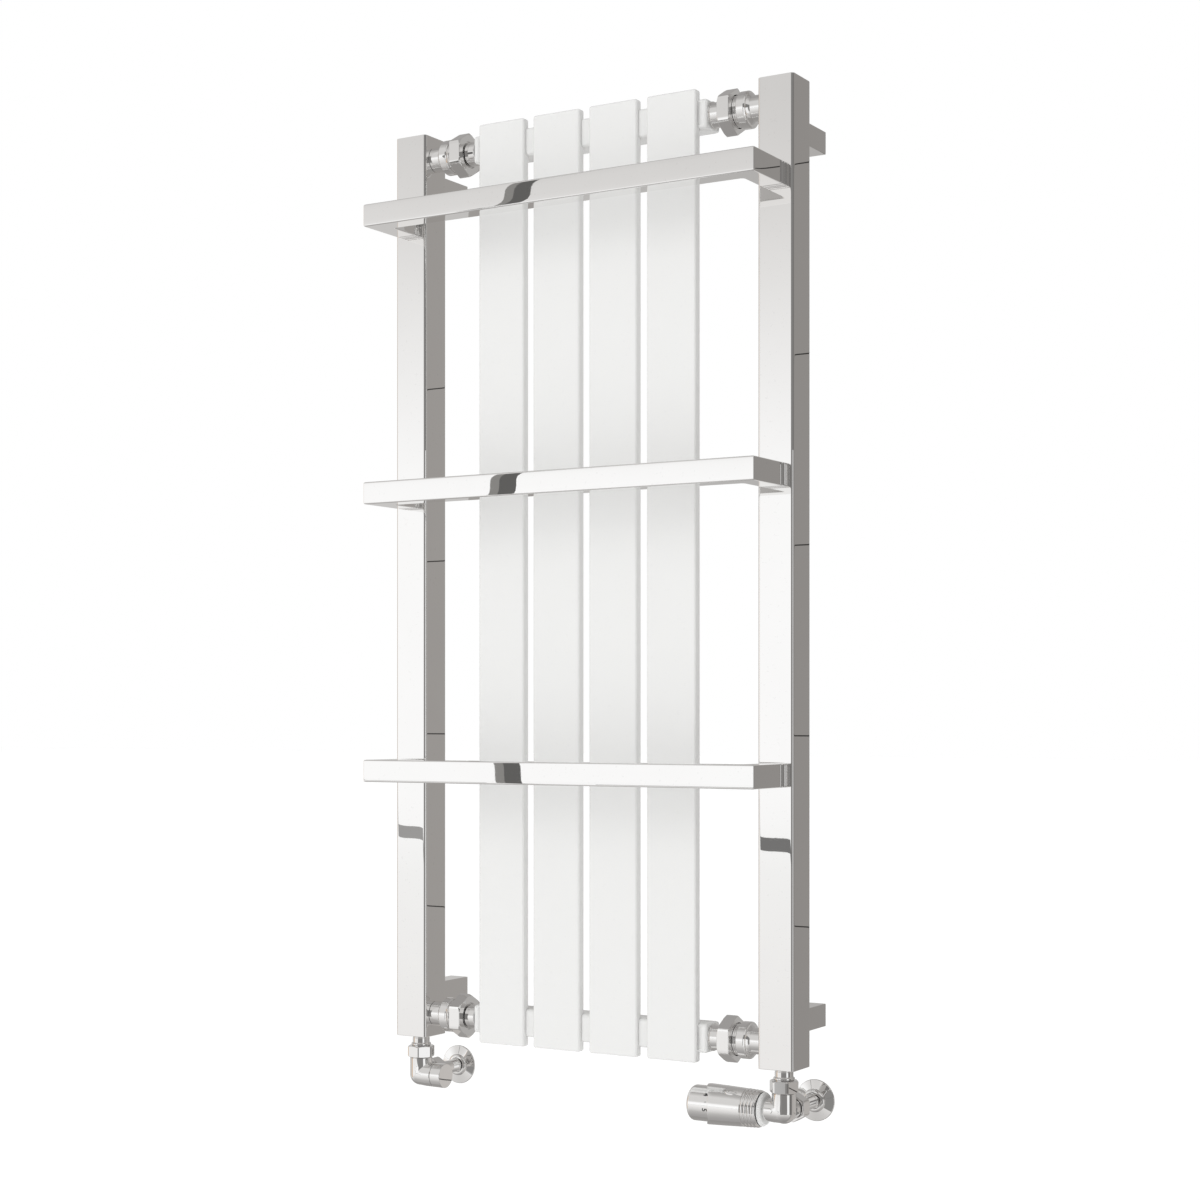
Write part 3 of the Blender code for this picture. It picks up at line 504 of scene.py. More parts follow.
def makeBracket(levelName, side):
    node = "bracket_" + levelName + "_" + side
    low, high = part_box(node)
    block = smoothShaded(roundedBox(node + "_block", low, high, postLook["bracketEdge"], 3))
    # the socket's mouth towards the wall stays open round the wall boss
    mid = (low + high) / 2
    mouth = turned(
        "mouth",
        [(0.0, -postLook["mouthDepth"]), (postLook["mouth"], -postLook["mouthDepth"]),
         (postLook["mouth"], 0.01), (0.0, 0.01)],
        axisFrame((mid.x, high.y, mid.z), (0.0, 1.0, 0.0)), rounding=0.0, phase=0.05,
    )
    joinedShape(block, [mouth], "DIFFERENCE")
    return settle(block, chrome, "radiator", "chrome", node)


for side, x in sides.items():
    makePost(side, x)
    for levelName in ("bottom", "top"):
        makeBracket(levelName, side)
print("posts and brackets made")


# panels and headers

panelLook = {"edge": 0.0024, "steps": 5}
headerLook = {
    "half": 0.015, "edge": 0.0034, "steps": 5, "stubRadius": 0.013, "stubBore": 0.008,
    "flange": 0.0160, "unionGap": 0.0142, "stubLength": 0.0190, "rebateGap": 0.0002,
}


def panelTree():
    # copies one panel along X
    tree, inn, out = groupWith(
        "panel row", "GeometryNodeTree",
        [("Geometry", "Geometry", None), ("Count", "Int", None), ("Pitch", "Float", None),
         ("Finish", "Material", None)],
        [("Geometry", "Geometry")],
    )
    step = addNode(tree, "ShaderNodeCombineXYZ")
    line = addNode(tree, "GeometryNodeMeshLine", mode="OFFSET")
    place = addNode(tree, "GeometryNodeInstanceOnPoints")
    wire(
        tree, (inn, "Pitch", step, "X"), (step, "Vector", line, "Offset"),
        (inn, "Count", line, "Count"), (line, "Mesh", place, "Points"),
    )
    finishInstances(tree, inn, place, out)
    return tree


def finishInstances(tree, inn, place, out):
    # the copies become real faces with the given finish
    real = addNode(tree, "GeometryNodeRealizeInstances")
    paint = addNode(tree, "GeometryNodeSetMaterial")
    wire(
        tree, (inn, "Geometry", place, "Instance"), (place, "Instances", real, "Geometry"),
        (real, "Geometry", paint, "Geometry"), (inn, "Finish", paint, "Material"),
        (paint, "Geometry", out, "Geometry"),
    )


def setInputs(modifier, values):
    for item in modifier.node_group.interface.items_tree:
        if getattr(item, "in_out", "") == "INPUT" and item.name in values:
            modifier[item.identifier] = values[item.name]


def makePanels():
    low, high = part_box("panel_1")
    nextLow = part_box("panel_2")[0]
    names = [name for name in frame["nodes"] if name.startswith("panel_")]
    first = roundedBox("front_panels", low, high, panelLook["edge"], panelLook["steps"])
    row = first.modifiers.new("row", "NODES")
    row.node_group = panelTree()
    setInputs(row, {"Count": len(names), "Pitch": nextLow.x - low.x, "Finish": enamel})
    applied(first)
    smoothShaded(first, 50.0)
    return settle(first, enamel, "radiator", "white_enamel", *sorted(names))


def makeHeader(levelName):
    level = levels[levelName]
    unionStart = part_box("union_nut_" + levelName + "_right")[0].x
    headerEnd = unionStart - headerLook["unionGap"]
    half = headerLook["half"]
    tube = roundedBox(
        "header_tube_" + levelName,
        (-headerEnd, axisY - half, level - half), (headerEnd, axisY + half, level + half),
        headerLook["edge"], headerLook["steps"],
    )
    smoothShaded(tube, 50.0)
    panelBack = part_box("panel_1")[1].y
    rebates = []
    for name in sorted(node for node in frame["nodes"] if node.startswith("panel_")):
        low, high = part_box(name)
        gap = headerLook["rebateGap"]
        rebates.append(roundedBox(
            "rebate", (low.x - gap, postFront - 0.01, level - 0.03),
            (high.x + gap, panelBack + gap, level + 0.03), 0.0001, 1,
        ))
    joinedShape(tube, rebates, "DIFFERENCE")
    tube.data.shade_smooth()
    tube.data.set_sharp_from_angle(angle=math.radians(40.0))
    settle(tube, enamel, "radiator", "white_enamel", "header_" + levelName)
    r, bore = headerLook["stubRadius"], headerLook["stubBore"]
    flange, end = headerLook["flange"], headerLook["stubLength"]
    for direction, side in ((-1.0, "left"), (1.0, "right")):
        matrix = axisFrame((direction * headerEnd, axisY, level), (direction, 0.0, 0.0))
        stub = turned(
            "header_stub_" + levelName + "_" + side,
            [(bore, 0.0003), (r + 0.0012, 0.0003), (r + 0.0012, 0.0012), (r, 0.0018),
             (r, end - 0.002), (flange, end - 0.002), (flange, end), (bore, end)],
            matrix, 0.0003,
        )
        smoothShaded(stub)
        settle(stub, chrome, "radiator", "chrome")


makePanels()
for levelName in levels:
    makeHeader(levelName)
print("panels and headers made")


# towel bars

barLook = {
    "edge": 0.0013, "edgeSteps": 5, "crown": 0.00007, "corner": 0.0009, "innerCorner": 0.0035,
    "cornerSteps": 20, "neckGroove": 0.0014, "neckBar": 0.0098,
}


def makeBar(name):
    node = "towel_bar_" + name
    low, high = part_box(node)
    section = high.z - low.z
    half = section / 2
    level = (low.z + high.z) / 2
    frontY = low.y + half
    backY = high.y
    reachX = high.x - half
    # the bar turns its corners round a point just inside the bend: the inside is a small arc
    # and the outside a square corner with its edge broken
    inner = barLook["innerCorner"]
    outer = barLook["corner"]
    profile = squareSection(half, barLook["edge"], barLook["edgeSteps"], barLook["crown"])
    count = barLook["cornerSteps"]
    rings = []
    bm = bmesh.new()

    def straightRing(side, y):
        rings.append([bm.verts.new((side * (reachX + across), y, level + up))
                      for across, up in profile])

    def cornerRing(side, angle):
        c, s = math.cos(angle), math.sin(angle)
        ring = []
        for across, up in profile:
            share = (across + half) / section
            size = inner + across + half
            bend = size + (outer - size) * share
            middle = size - bend
            if s * size < c * middle:
                reach = size / c
            elif c * size < s * middle:
                reach = size / s
            else:
                reach = middle * (c + s)
                reach += math.sqrt(max(middle ** 2 * (2 * c * s - 1) + bend ** 2, 0.0))
            x = side * (reachX - half - inner + reach * c)
            ring.append(bm.verts.new((x, frontY + half + inner - reach * s, level + up)))
        rings.append(ring)

    angles = []
    for step in range(count + 1):
        u = 2.0 * step / count - 1.0
        angles.append(math.radians(45.0 + 45.0 * math.copysign(abs(u) ** 1.7, u)))
    straightRing(1.0, backY)
    straightRing(1.0, backY - 0.001)
    for angle in angles:
        cornerRing(1.0, angle)
    for angle in reversed(angles):
        cornerRing(-1.0, angle)
    straightRing(-1.0, backY - 0.001)
    straightRing(-1.0, backY)
    skinRings(bm, rings)
    bar = smoothShaded(newObject(node + "_tube", bm), 30.0)
    return settle(bar, chrome, "radiator", "chrome", node)


def makeNeck(name, side):
    node = "bar_neck_" + name + "_" + side
    low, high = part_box(node)
    x = (low.x + high.x) / 2
    level = (low.z + high.z) / 2
    matrix = axisFrame((x, high.y, level), (0.0, -1.0, 0.0))
    half = (high.x - low.x) / 2
    groove = half - barLook["neckGroove"]
    end = barLook["neckBar"]
    stations = [
        (half - 0.0004, 0.0), (half, 0.0004), (half, 0.0018), (half - 0.0004, 0.0022),
        (groove, 0.0024), (groove, 0.0034), (half - 0.0004, 0.0036), (half, 0.0040),
        (half, 0.0068), (half - 0.0005, 0.0072), (half - 0.0009, 0.0074),
        (half - 0.0009, 0.0082), (half - 0.0004, 0.0085), (half - 0.0004, end),
        (half - 0.003, end), (half - 0.003, end + 0.006),
    ]
    bm = bmesh.new()
    rings = []
    for size, distance in stations:
        section = squareSection(size, 0.0012, 3)
        rings.append([bm.verts.new((px, py, distance)) for px, py in section])
    skinRings(bm, rings)
    neck = smoothShaded(newObject(node + "_ring", bm, matrix), 30.0)
    return settle(neck, chrome, "radiator", "chrome", node)


for name in ("bottom", "middle", "top"):
    makeBar(name)
    for side in sides:
        makeNeck(name, side)
print("towel bars made")


# unions

unionLook = {
    "flats": 0.0425, "nutStart": 0.0142, "nutLength": 0.0140, "stubGap": 0.0018,
    "thread": 0.0163, "threadRings": 3, "collarStart": 0.0340, "collarEnd": 0.0447,
    "collar": 0.0191, "tail": 0.0136, "postFace": 0.0602, "bore": 0.0085, "threadFrom": 0.0218,
    "spigot": 0.0104,
}


def makeUnion(levelName, side):
    look = unionLook
    direction = 1.0 if side == "right" else -1.0
    nutNode = "union_nut_" + levelName + "_" + side
    tailNode = "post_tail_" + levelName + "_" + side
    low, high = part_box(nutNode)
    start = (low.x if direction > 0 else high.x) - direction * look["nutStart"]
    matrix = axisFrame((start, axisY, levels[levelName]), (direction, 0.0, 0.0))
    thread, bore, tailRadius = look["thread"], look["bore"], look["tail"]
    nut = hexNut(
        nutNode + "_hex", look["flats"], look["nutStart"], look["nutLength"],
        headerLook["stubRadius"] + look["stubGap"], thread + 0.0008, 0.0025, matrix,
    )
    smoothShaded(nut, 24.0)
    settle(nut, chrome, "radiator", "chrome", nutNode)
    profile = [(bore, look["threadFrom"]), (thread, look["threadFrom"])]
    # what shows of the thread between nut and collar
    collarStart, collarEnd = look["collarStart"], look["collarEnd"]
    threadStart = look["nutStart"] + look["nutLength"] - 0.001
    pitch = (collarStart - threadStart) / look["threadRings"]
    for turn in range(look["threadRings"]):
        at = threadStart + pitch * turn
        profile += [(thread, at), (thread - 0.0008, at + pitch * 0.5)]
    r = look["collar"]
    spigot, end = look["spigot"], look["postFace"]
    profile += [
        (thread + 0.0002, collarStart), (r - 0.0014, collarStart), (r, collarStart + 0.0012),
        (r, collarEnd - 0.0014), (r - 0.0014, collarEnd), (tailRadius + 0.0030, collarEnd),
        (tailRadius + 0.0018, collarEnd + 0.0010), (tailRadius + 0.0004, collarEnd + 0.0026),
        (tailRadius, collarEnd + 0.0034), (tailRadius, end), (spigot, end),
        (spigot, end + 0.0042), (bore, end + 0.0042),
    ]
    tail = smoothShaded(turned(tailNode + "_turned", profile, matrix, 0.00035))
    settle(tail, chrome, "radiator", "chrome", tailNode)


for levelName in levels:
    for side in sides:
        makeUnion(levelName, side)
print("unions made")


# valves

valveLook = {
    "nutTurn": {"left": -20.8, "right": 22.5}, "tail": 0.0098, "nutTop": 0.0122,
    "nutLength": 0.0125, "nutFlats": 0.0270,
    "thread": 0.0113, "barrel": 0.0124, "elbow": 0.01245, "rear": 0.0102, "rearLength": 0.030,
    "pipe": 0.0074, "pipeNutFlats": 0.0256, "rosette": 0.0218, "rosetteRise": 0.0066,
    "rosetteBore": 0.0079,
}


def makeValveTail(side, x):
    look = valveLook
    matrix = axisFrame((x, axisY, 0.0), (0.0, 0.0, -1.0))
    tightened = matrix @ Matrix.Rotation(math.radians(look["nutTurn"][side]), 4, "Z")
    r = look["tail"]
    profile = [
        (0.006, -0.005), (0.0074, -0.005), (0.0074, 0.0003), (r + 0.0006, 0.0003),
        (r + 0.0006, 0.0016), (r - 0.0008, 0.0022), (r - 0.0008, 0.0030), (r - 0.0003, 0.0036),
        (r - 0.0003, 0.0086), (r + 0.0012, 0.0096), (r + 0.0012, 0.0110), (r, 0.0114),
        (r, 0.0150), (look["thread"], 0.0150), (look["thread"], 0.0169), (0.006, 0.0169),
    ]
    tail = smoothShaded(turned("valve_tail_turned_" + side, profile, matrix, 0.0003))
    settle(tail, chrome, "radiator", "chrome", "valve_tail_" + side)
    nut = hexNut(
        "valve_nut_hex_" + side, look["nutFlats"], look["nutTop"], look["nutLength"],
        r + 0.0005, look["thread"] + 0.0004, 0.0025, tightened, (1.0, 1.02),
    )
    smoothShaded(nut, 24.0)
    settle(nut, chrome, "radiator", "chrome", "valve_nut_" + side)


def makeValveBody(side, x, branchProfile, branchRounding, bore):
    look = valveLook
    centre = (x, axisY, valveZ)
    inward = -1.0 if side == "right" else 1.0
    up = axisFrame(centre, (0.0, 0.0, 1.0))
    across = axisFrame(centre, (inward, 0.0, 0.0))
    back = axisFrame(centre, (0.0, 1.0, 0.0))
    barrelTop = -valveZ - look["nutTop"] - look["nutLength"] - 0.0004
    threadTop = -valveZ - 0.0173
    r = look["barrel"]
    body = turned(
        "valve_body_cast_" + side,
        [(0.0, -0.0013), (r, -0.0013), (r, barrelTop - 0.0006), (r - 0.0008, barrelTop),
         (look["thread"], barrelTop), (look["thread"], threadTop), (0.0, threadTop)],
        up, 0.0,
    )
    ball = []
    for step in range(25):
        angle = math.radians(-90.0 + 180.0 * step / 24)
        ball.append((max(look["elbow"] * math.cos(angle), 0.0), look["elbow"] * math.sin(angle)))
    ball[0] = (0.0, -look["elbow"])
    ball[-1] = (0.0, look["elbow"])
    rearProfile = [
        (0.0, -0.0021), (0.0112, -0.0021), (0.0112, 0.0145), (look["rear"], 0.0155),
        (look["rear"], look["rearLength"]), (0.0, look["rearLength"]),
    ]
    parts = [
        turned("elbow", ball, axisFrame(centre, (0.3 * inward, -0.2, -1.0)), 0.0, phase=0.02),
        turned("branch", branchProfile, across, branchRounding, phase=0.013),
        turned("rear", rearProfile, back, 0.0, phase=0.009),
    ]
    joinedShape(body, parts, "UNION")
    holes = [
        turned("bore", [(0.0, -0.003), (0.0059, -0.003), (0.0059, 0.05), (0.0, 0.05)],
               up, 0.0, phase=0.03),
        turned("bore", [(0.0, -0.0015), (bore, -0.0015), (bore, 0.05), (0.0, 0.05)],
               across, 0.0, phase=0.037),
        turned("bore", [(0.0, -0.002), (0.0052, -0.002), (0.0052, 0.0207), (0.0078, 0.0207),
                        (0.0078, 0.05), (0.0, 0.05)], back, 0.0, phase=0.041),
    ]
    joinedShape(body, holes, "DIFFERENCE")
    body.data.shade_smooth()
    body.data.set_sharp_from_angle(angle=math.radians(32.0))
    settle(body, chrome, "radiator", "chrome", "valve_body_" + side)


def makePipework(side, x):
    look = valveLook
    back = axisFrame((x, axisY, valveZ), (0.0, 1.0, 0.0))
    toWall = -axisY
    pipe = smoothShaded(turned(
        "supply_pipe_tube_" + side,
        [(0.0065, 0.021), (look["pipe"], 0.021), (look["pipe"], toWall), (0.0065, toWall)],
        back, 0.0002,
    ))
    settle(pipe, chrome, "radiator", "chromed_pipe", "supply_pipe_" + side)
    nutEnd = look["rearLength"] + 0.0036
    forward = axisFrame((x, axisY + nutEnd, valveZ), (0.0, -1.0, 0.0))
    nut = hexNut(
        "pipe_nut_hex_" + side, look["pipeNutFlats"], 0.0, 0.014, 0.0079, 0.0106, 0.003, forward,
    )
    smoothShaded(nut, 24.0)
    settle(nut, chrome, "radiator", "chrome", "pipe_nut_" + side)
    r, bore = look["rosette"], look["rosetteBore"]
    crest = toWall - look["rosetteRise"]
    profile = [(bore, crest + 0.0010), (0.0086, crest)]
    # a round collar, then a plain dish that falls gently to the rim
    for step in range(7):
        angle = math.radians(15.0 * step)
        profile.append((0.0088 + 0.0034 * math.sin(angle),
                        crest + 0.0030 * (1.0 - math.cos(angle))))
    profile += [(0.0126, toWall - 0.0036), (r - 0.0004, toWall - 0.0014), (r, toWall - 0.0010),
                (r, toWall), (bore, toWall)]
    rosette = smoothShaded(turned("rosette_dish_" + side, profile, back, 0.0002, 96))
    settle(rosette, chrome, "radiator", "chrome", "rosette_" + side)


headBranch = [
    (0.0, -0.0017), (0.0121, -0.0017), (0.0120, 0.010), (0.0114, 0.0180), (0.0114, 0.0195),
    (0.0, 0.0195),
]
lockBranch = [
    (0.0, -0.0017), (0.0122, -0.0017), (0.0131, 0.010), (0.0132, 0.0193), (0.0129, 0.0197),
    (0.0100, 0.0197), (0.0100, 0.0245), (0.0, 0.0245),
]
for side, x in sides.items():
    makeValveTail(side, x)
    makePipework(side, x)
makeValveBody("right", postX, headBranch, 0.0, 0.0083)
makeValveBody("left", -postX, lockBranch, 0.0, 0.0054)
print("valves made")


# thermostatic head

headLook = {
    "ringStart": 0.0198, "ringEnd": 0.0243, "ringNear": 0.0156, "ringFar": 0.0170,
    "ringBore": 0.0083, "knurls": 52, "sleeveStart": 0.0247, "sleeveNear": 0.0187,
    "sleeveFar": 0.0211, "sleeveEnd": 0.0820, "mouthWave": 0.0045, "ribs": 4,
    "ribFirst": 0.0280, "ribPitch": 0.0038, "ribRise": 0.0008, "dialStart": 0.0740,
    "dialEnd": 0.1044, "dialRadius": 0.0184, "dialRound": 0.0045, "pointerAt": 0.0540,
    "pointerAngle": 51.0, "pointerLength": 0.0132, "pointerWidth": 0.0052,
    "digitHeight": 0.0056, "digitStep": 50.0, "fourAt": 39.5, "digitPlace": 0.0820,
}
head = axisFrame((postX, axisY, valveZ), (-1.0, 0.0, 0.0))


def ringTree():
    # copies a small ridge round Z
    tree, inn, out = groupWith(
        "ridges round an axis", "GeometryNodeTree",
        [("Geometry", "Geometry", None), ("Count", "Int", None), ("Finish", "Material", None)],
        [("Geometry", "Geometry")],
    )
    points = addNode(tree, "GeometryNodePoints")
    index = addNode(tree, "GeometryNodeInputIndex")
    turn = addNode(tree, "ShaderNodeMath", operation="MULTIPLY")
    part = addNode(tree, "ShaderNodeMath", {0: math.tau}, operation="DIVIDE")
    spin = addNode(tree, "ShaderNodeCombineXYZ")
    place = addNode(tree, "GeometryNodeInstanceOnPoints")
    wire(
        tree, (inn, "Count", points, "Count"), (inn, "Count", part, 1), (part, 0, turn, 0),
        (index, 0, turn, 1), (turn, 0, spin, "Z"), (points, 0, place, "Points"),
        (spin, "Vector", place, "Rotation"),
    )
    finishInstances(tree, inn, place, out)
    return tree


def makeKnurledRing():
    look = headLook
    start, end = look["ringStart"], look["ringEnd"]
    near, far, bore = look["ringNear"], look["ringFar"], look["ringBore"]
    ring = turned(
        "trv_ring_turned",
        [(bore, start), (near - 0.0008, start), (near, start + 0.0006), (far, end - 0.001),
         (far - 0.0012, end), (bore, end)],
        head, 0.0003,
    )
    smoothShaded(ring)
    settle(ring, ringWhite, "radiator", "sensor_white", "trv_ring")
    bm = bmesh.new()
    width = math.tau * far / look["knurls"] * 0.36
    rows = []
    for distance, radius in ((start + 0.0008, near), (end - 0.0014, far)):
        rows.append([
            bm.verts.new((radius + rise, width * share, distance))
            for rise, share in ((-0.0004, -1.0), (0.0007, -0.4), (0.0007, 0.4), (-0.0004, 1.0))
        ])
    for step in range(4):
        after = (step + 1) % 4
        bm.faces.new((rows[0][step], rows[0][after], rows[1][after], rows[1][step]))
    bm.faces.new(rows[0])
    bm.faces.new(rows[1])
    knurl = newObject("trv_ring_knurls", bm)
    wrap = knurl.modifiers.new("wrap", "NODES")
    wrap.node_group = ringTree()
    setInputs(wrap, {"Count": look["knurls"], "Finish": ringWhite})
    applied(knurl)
    knurl.data.transform(head)
    settle(knurl, ringWhite, "radiator", "sensor_white")


def makeSleeve():
    look = headLook
    near, far = look["sleeveNear"], look["sleeveFar"]
    start, mouth = look["sleeveStart"], look["sleeveEnd"]
    pitch = look["ribPitch"]

    def wallAt(distance):
        t = (distance - start) / (mouth - start)
        return near + (far - near) * (t ** 0.85)

    profile = [(0.0171, start), (near - 0.0010, start), (near - 0.0002, start + 0.0008)]
    for index in range(look["ribs"]):
        at = look["ribFirst"] + pitch * index
        # each rib is a round bead between two narrow grooves
        profile.append((wallAt(at) - 0.0011, at - pitch * 0.5))
        for step in range(7):
            angle = math.radians(180.0 * step / 6)
            profile.append((
                wallAt(at) - 0.0006 + look["ribRise"] * math.sin(angle),
                at - pitch * 0.36 * math.cos(angle),
            ))
    last = look["ribFirst"] + pitch * (look["ribs"] - 0.5)
    profile += [(wallAt(last) - 0.0011, last), (wallAt(last) - 0.0001, last + 0.0006)]
    for step in range(1, 9):
        at = last + 0.0006 + (mouth - 0.0012 - last - 0.0006) * step / 8
        profile.append((wallAt(at), at))
    profile += [(far - 0.0003, mouth - 0.0003), (far - 0.0010, mouth), (0.0190, mouth),
                (0.0189, mouth - 0.0120), (0.0171, mouth - 0.0125)]
    sleeve = turned("trv_sleeve_turned", profile, Matrix(), 0.0, 96)
    # the mouth runs in two waves round the dial, deepest in front
    for vertex in sleeve.data.vertices:
        x, y, z = vertex.co
        share = max(0.0, (z - (mouth - 0.016)) / 0.016)
        if math.hypot(x, y) > 0.0187:
            lift = abs(math.sin(math.atan2(x, y))) ** 4
            vertex.co.z += look["mouthWave"] * (2.0 * lift - 1.0) * share
    sleeve.data.transform(head)
    smoothShaded(sleeve, 50.0)
    settle(sleeve, headChrome, "radiator", "chrome", "trv_sleeve")
    # the raised oval pointer
    lean = math.radians(look["pointerAngle"])
    facing = (0.0, -math.cos(lean), math.sin(lean))
    spot = (postX - look["pointerAt"], axisY, valveZ)
    matrix = axisFrame(spot, facing, up=(-1.0, 0.0, 0.0))
    bm = bmesh.new()
    rings = []
    surface = wallAt(look["pointerAt"])
    for size, rise in (
        (1.0, -0.0022), (1.0, 0.0002), (0.9, 0.0007), (0.7, 0.0010), (0.35, 0.0011)
    ):
        ring = []
        for step in range(32):
            angle = math.tau * step / 32
            along = look["pointerLength"] / 2 * size * math.cos(angle)
            cross = look["pointerWidth"] / 2 * size * math.sin(angle)
            sag = surface - math.sqrt(surface ** 2 - cross ** 2)
            ring.append(bm.verts.new((along, cross, surface + rise - sag)))
        rings.append(ring)
    skinRings(bm, rings)
    pointer = smoothShaded(newObject("trv_pointer", bm, matrix), 60.0)
    settle(pointer, headChrome, "radiator", "chrome")


def makeDial():
    look = headLook
    radius, corner = look["dialRadius"], look["dialRound"]
    start, end = look["dialStart"], look["dialEnd"]
    profile = [(radius - 0.0005, start), (radius, start + 0.0006)]
    for step in range(9):
        angle = math.radians(90.0 * step / 8)
        profile.append((radius - corner + corner * math.cos(angle),
                        end - corner + corner * math.sin(angle)))
    profile += [(0.0060, end), (0.0, end), (0.0, end - 0.003), (0.0120, end - 0.003),
                (0.0174, end - 0.009), (0.0174, start)]
    dial = smoothShaded(turned("trv_dial_turned", profile, head, 0.0, 96), 50.0)
    settle(dial, headChrome, "dial", "chrome", "trv_dial")


def wrapOnDial(mesh, angleDegrees, place):
    # flat print in X (reading) and Y (up) is laid round the dial, its up towards the valve
    radius = headLook["dialRadius"]
    for vertex in mesh.vertices:
        x, y, z = vertex.co
        angle = math.radians(angleDegrees) - x / radius
        height = radius + 0.00002 + z
        vertex.co = (
            postX - place + y,
            axisY - height * math.cos(angle),
            valveZ + height * math.sin(angle),
        )


def meshFromText(label, size):
    curve = bpy.data.curves.new("digit", "FONT")
    curve.body = label
    curve.size = size
    curve.align_x = "CENTER"
    curve.align_y = "CENTER"
    curve.extrude = 0.00010
    curve.offset = size * 0.018
    curve.resolution_u = 6
    holder = bpy.data.objects.new("digit", curve)
    bpy.context.scene.collection.objects.link(holder)
    depsgraph = bpy.context.evaluated_depsgraph_get()
    mesh = bpy.data.meshes.new_from_object(holder.evaluated_get(depsgraph), depsgraph=depsgraph)
    bpy.data.objects.remove(holder, do_unlink=True)
    return mesh


def makeDigits():
    # the numbers, with a dot halfway between two of them
    look = headLook
    place, half = look["digitPlace"], look["digitStep"] / 2
    bm = bmesh.new()
    for number in range(6):
        angle = look["fourAt"] + look["digitStep"] * (4 - number)
        digit = meshFromText(str(number), look["digitHeight"] * 1.35)
        wrapOnDial(digit, angle, place)
        bm.from_mesh(digit)
        if number < 5:
            dot = bmesh.new()
            bmesh.ops.create_cone(
                dot, cap_ends=True, segments=20, radius1=0.0005, radius2=0.0005, depth=0.00020
            )
            dotMesh = bpy.data.meshes.new("dot")
            dot.to_mesh(dotMesh)
            dot.free()
            wrapOnDial(dotMesh, angle - half, place - 0.001)
            bm.from_mesh(dotMesh)
    bmesh.ops.remove_doubles(bm, verts=bm.verts, dist=1e-7)
    figure = newObject("trv_dial_numbers", bm)
    settle(figure, materials["printedBlack"], "dial", "chrome")


makeKnurledRing()
makeSleeve()
makeDial()
makeDigits()
print("thermostatic head made")


# lockshield cap and vent

capLook = {"start": 0.0201, "end": 0.0335, "radius": 0.0134, "inner": 0.0106, "edge": 0.0005}


def makeLockCap():
    start, end = capLook["start"], capLook["end"]
    radius, inner = capLook["radius"], capLook["inner"]
    cap = turned(
        "lockshield_cap_turned",
        [(inner, start), (radius - 0.0002, start), (radius, end), (0.0040, end), (0.0, end),
         (0.0, end - 0.002), (inner, end - 0.002)],
        axisFrame((-postX, axisY, valveZ), (1.0, 0.0, 0.0)), capLook["edge"], 96,
    )
    smoothShaded(cap)
    settle(cap, chrome, "lock_cap", "chrome", "lockshield_cap")


makeLockCap()
ventLow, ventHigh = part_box("vent_plug")
ventFrame = axisFrame(
    ((ventLow.x + ventHigh.x) / 2, postBack, (ventLow.z + ventHigh.z) / 2), (0.0, 1.0, 0.0)
)
ventPlug = turned(
    "vent_plug_turned",
    [(0.0026, -0.005), (0.005, -0.005), (0.005, 0.0003), (0.0078, 0.0003), (0.0078, 0.0026),
     (0.0062, 0.004), (0.0026, 0.004)],
    ventFrame, 0.0003,
)
smoothShaded(ventPlug)
settle(ventPlug, chrome, "radiator", "chrome", "vent_plug")
print("cap and vent made")


# camera, floor and light

cameraLook = {
    "place": (1.18166, -2.0400, 0.35715), "turn": 30.848, "lens": 64.555, "shift": 0.0958,
}
cameraData = bpy.data.cameras.new("camera")
cameraData.lens = cameraLook["lens"]
cameraData.sensor_width = 36.0
cameraData.shift_y = cameraLook["shift"]
cameraData.clip_end = 100.0
camera = bpy.data.objects.new("camera", cameraData)
camera.location = cameraLook["place"]
camera.rotation_euler = (math.radians(90.0), 0.0, math.radians(cameraLook["turn"]))
bpy.context.scene.collection.objects.link(camera)
bpy.context.scene.camera = camera

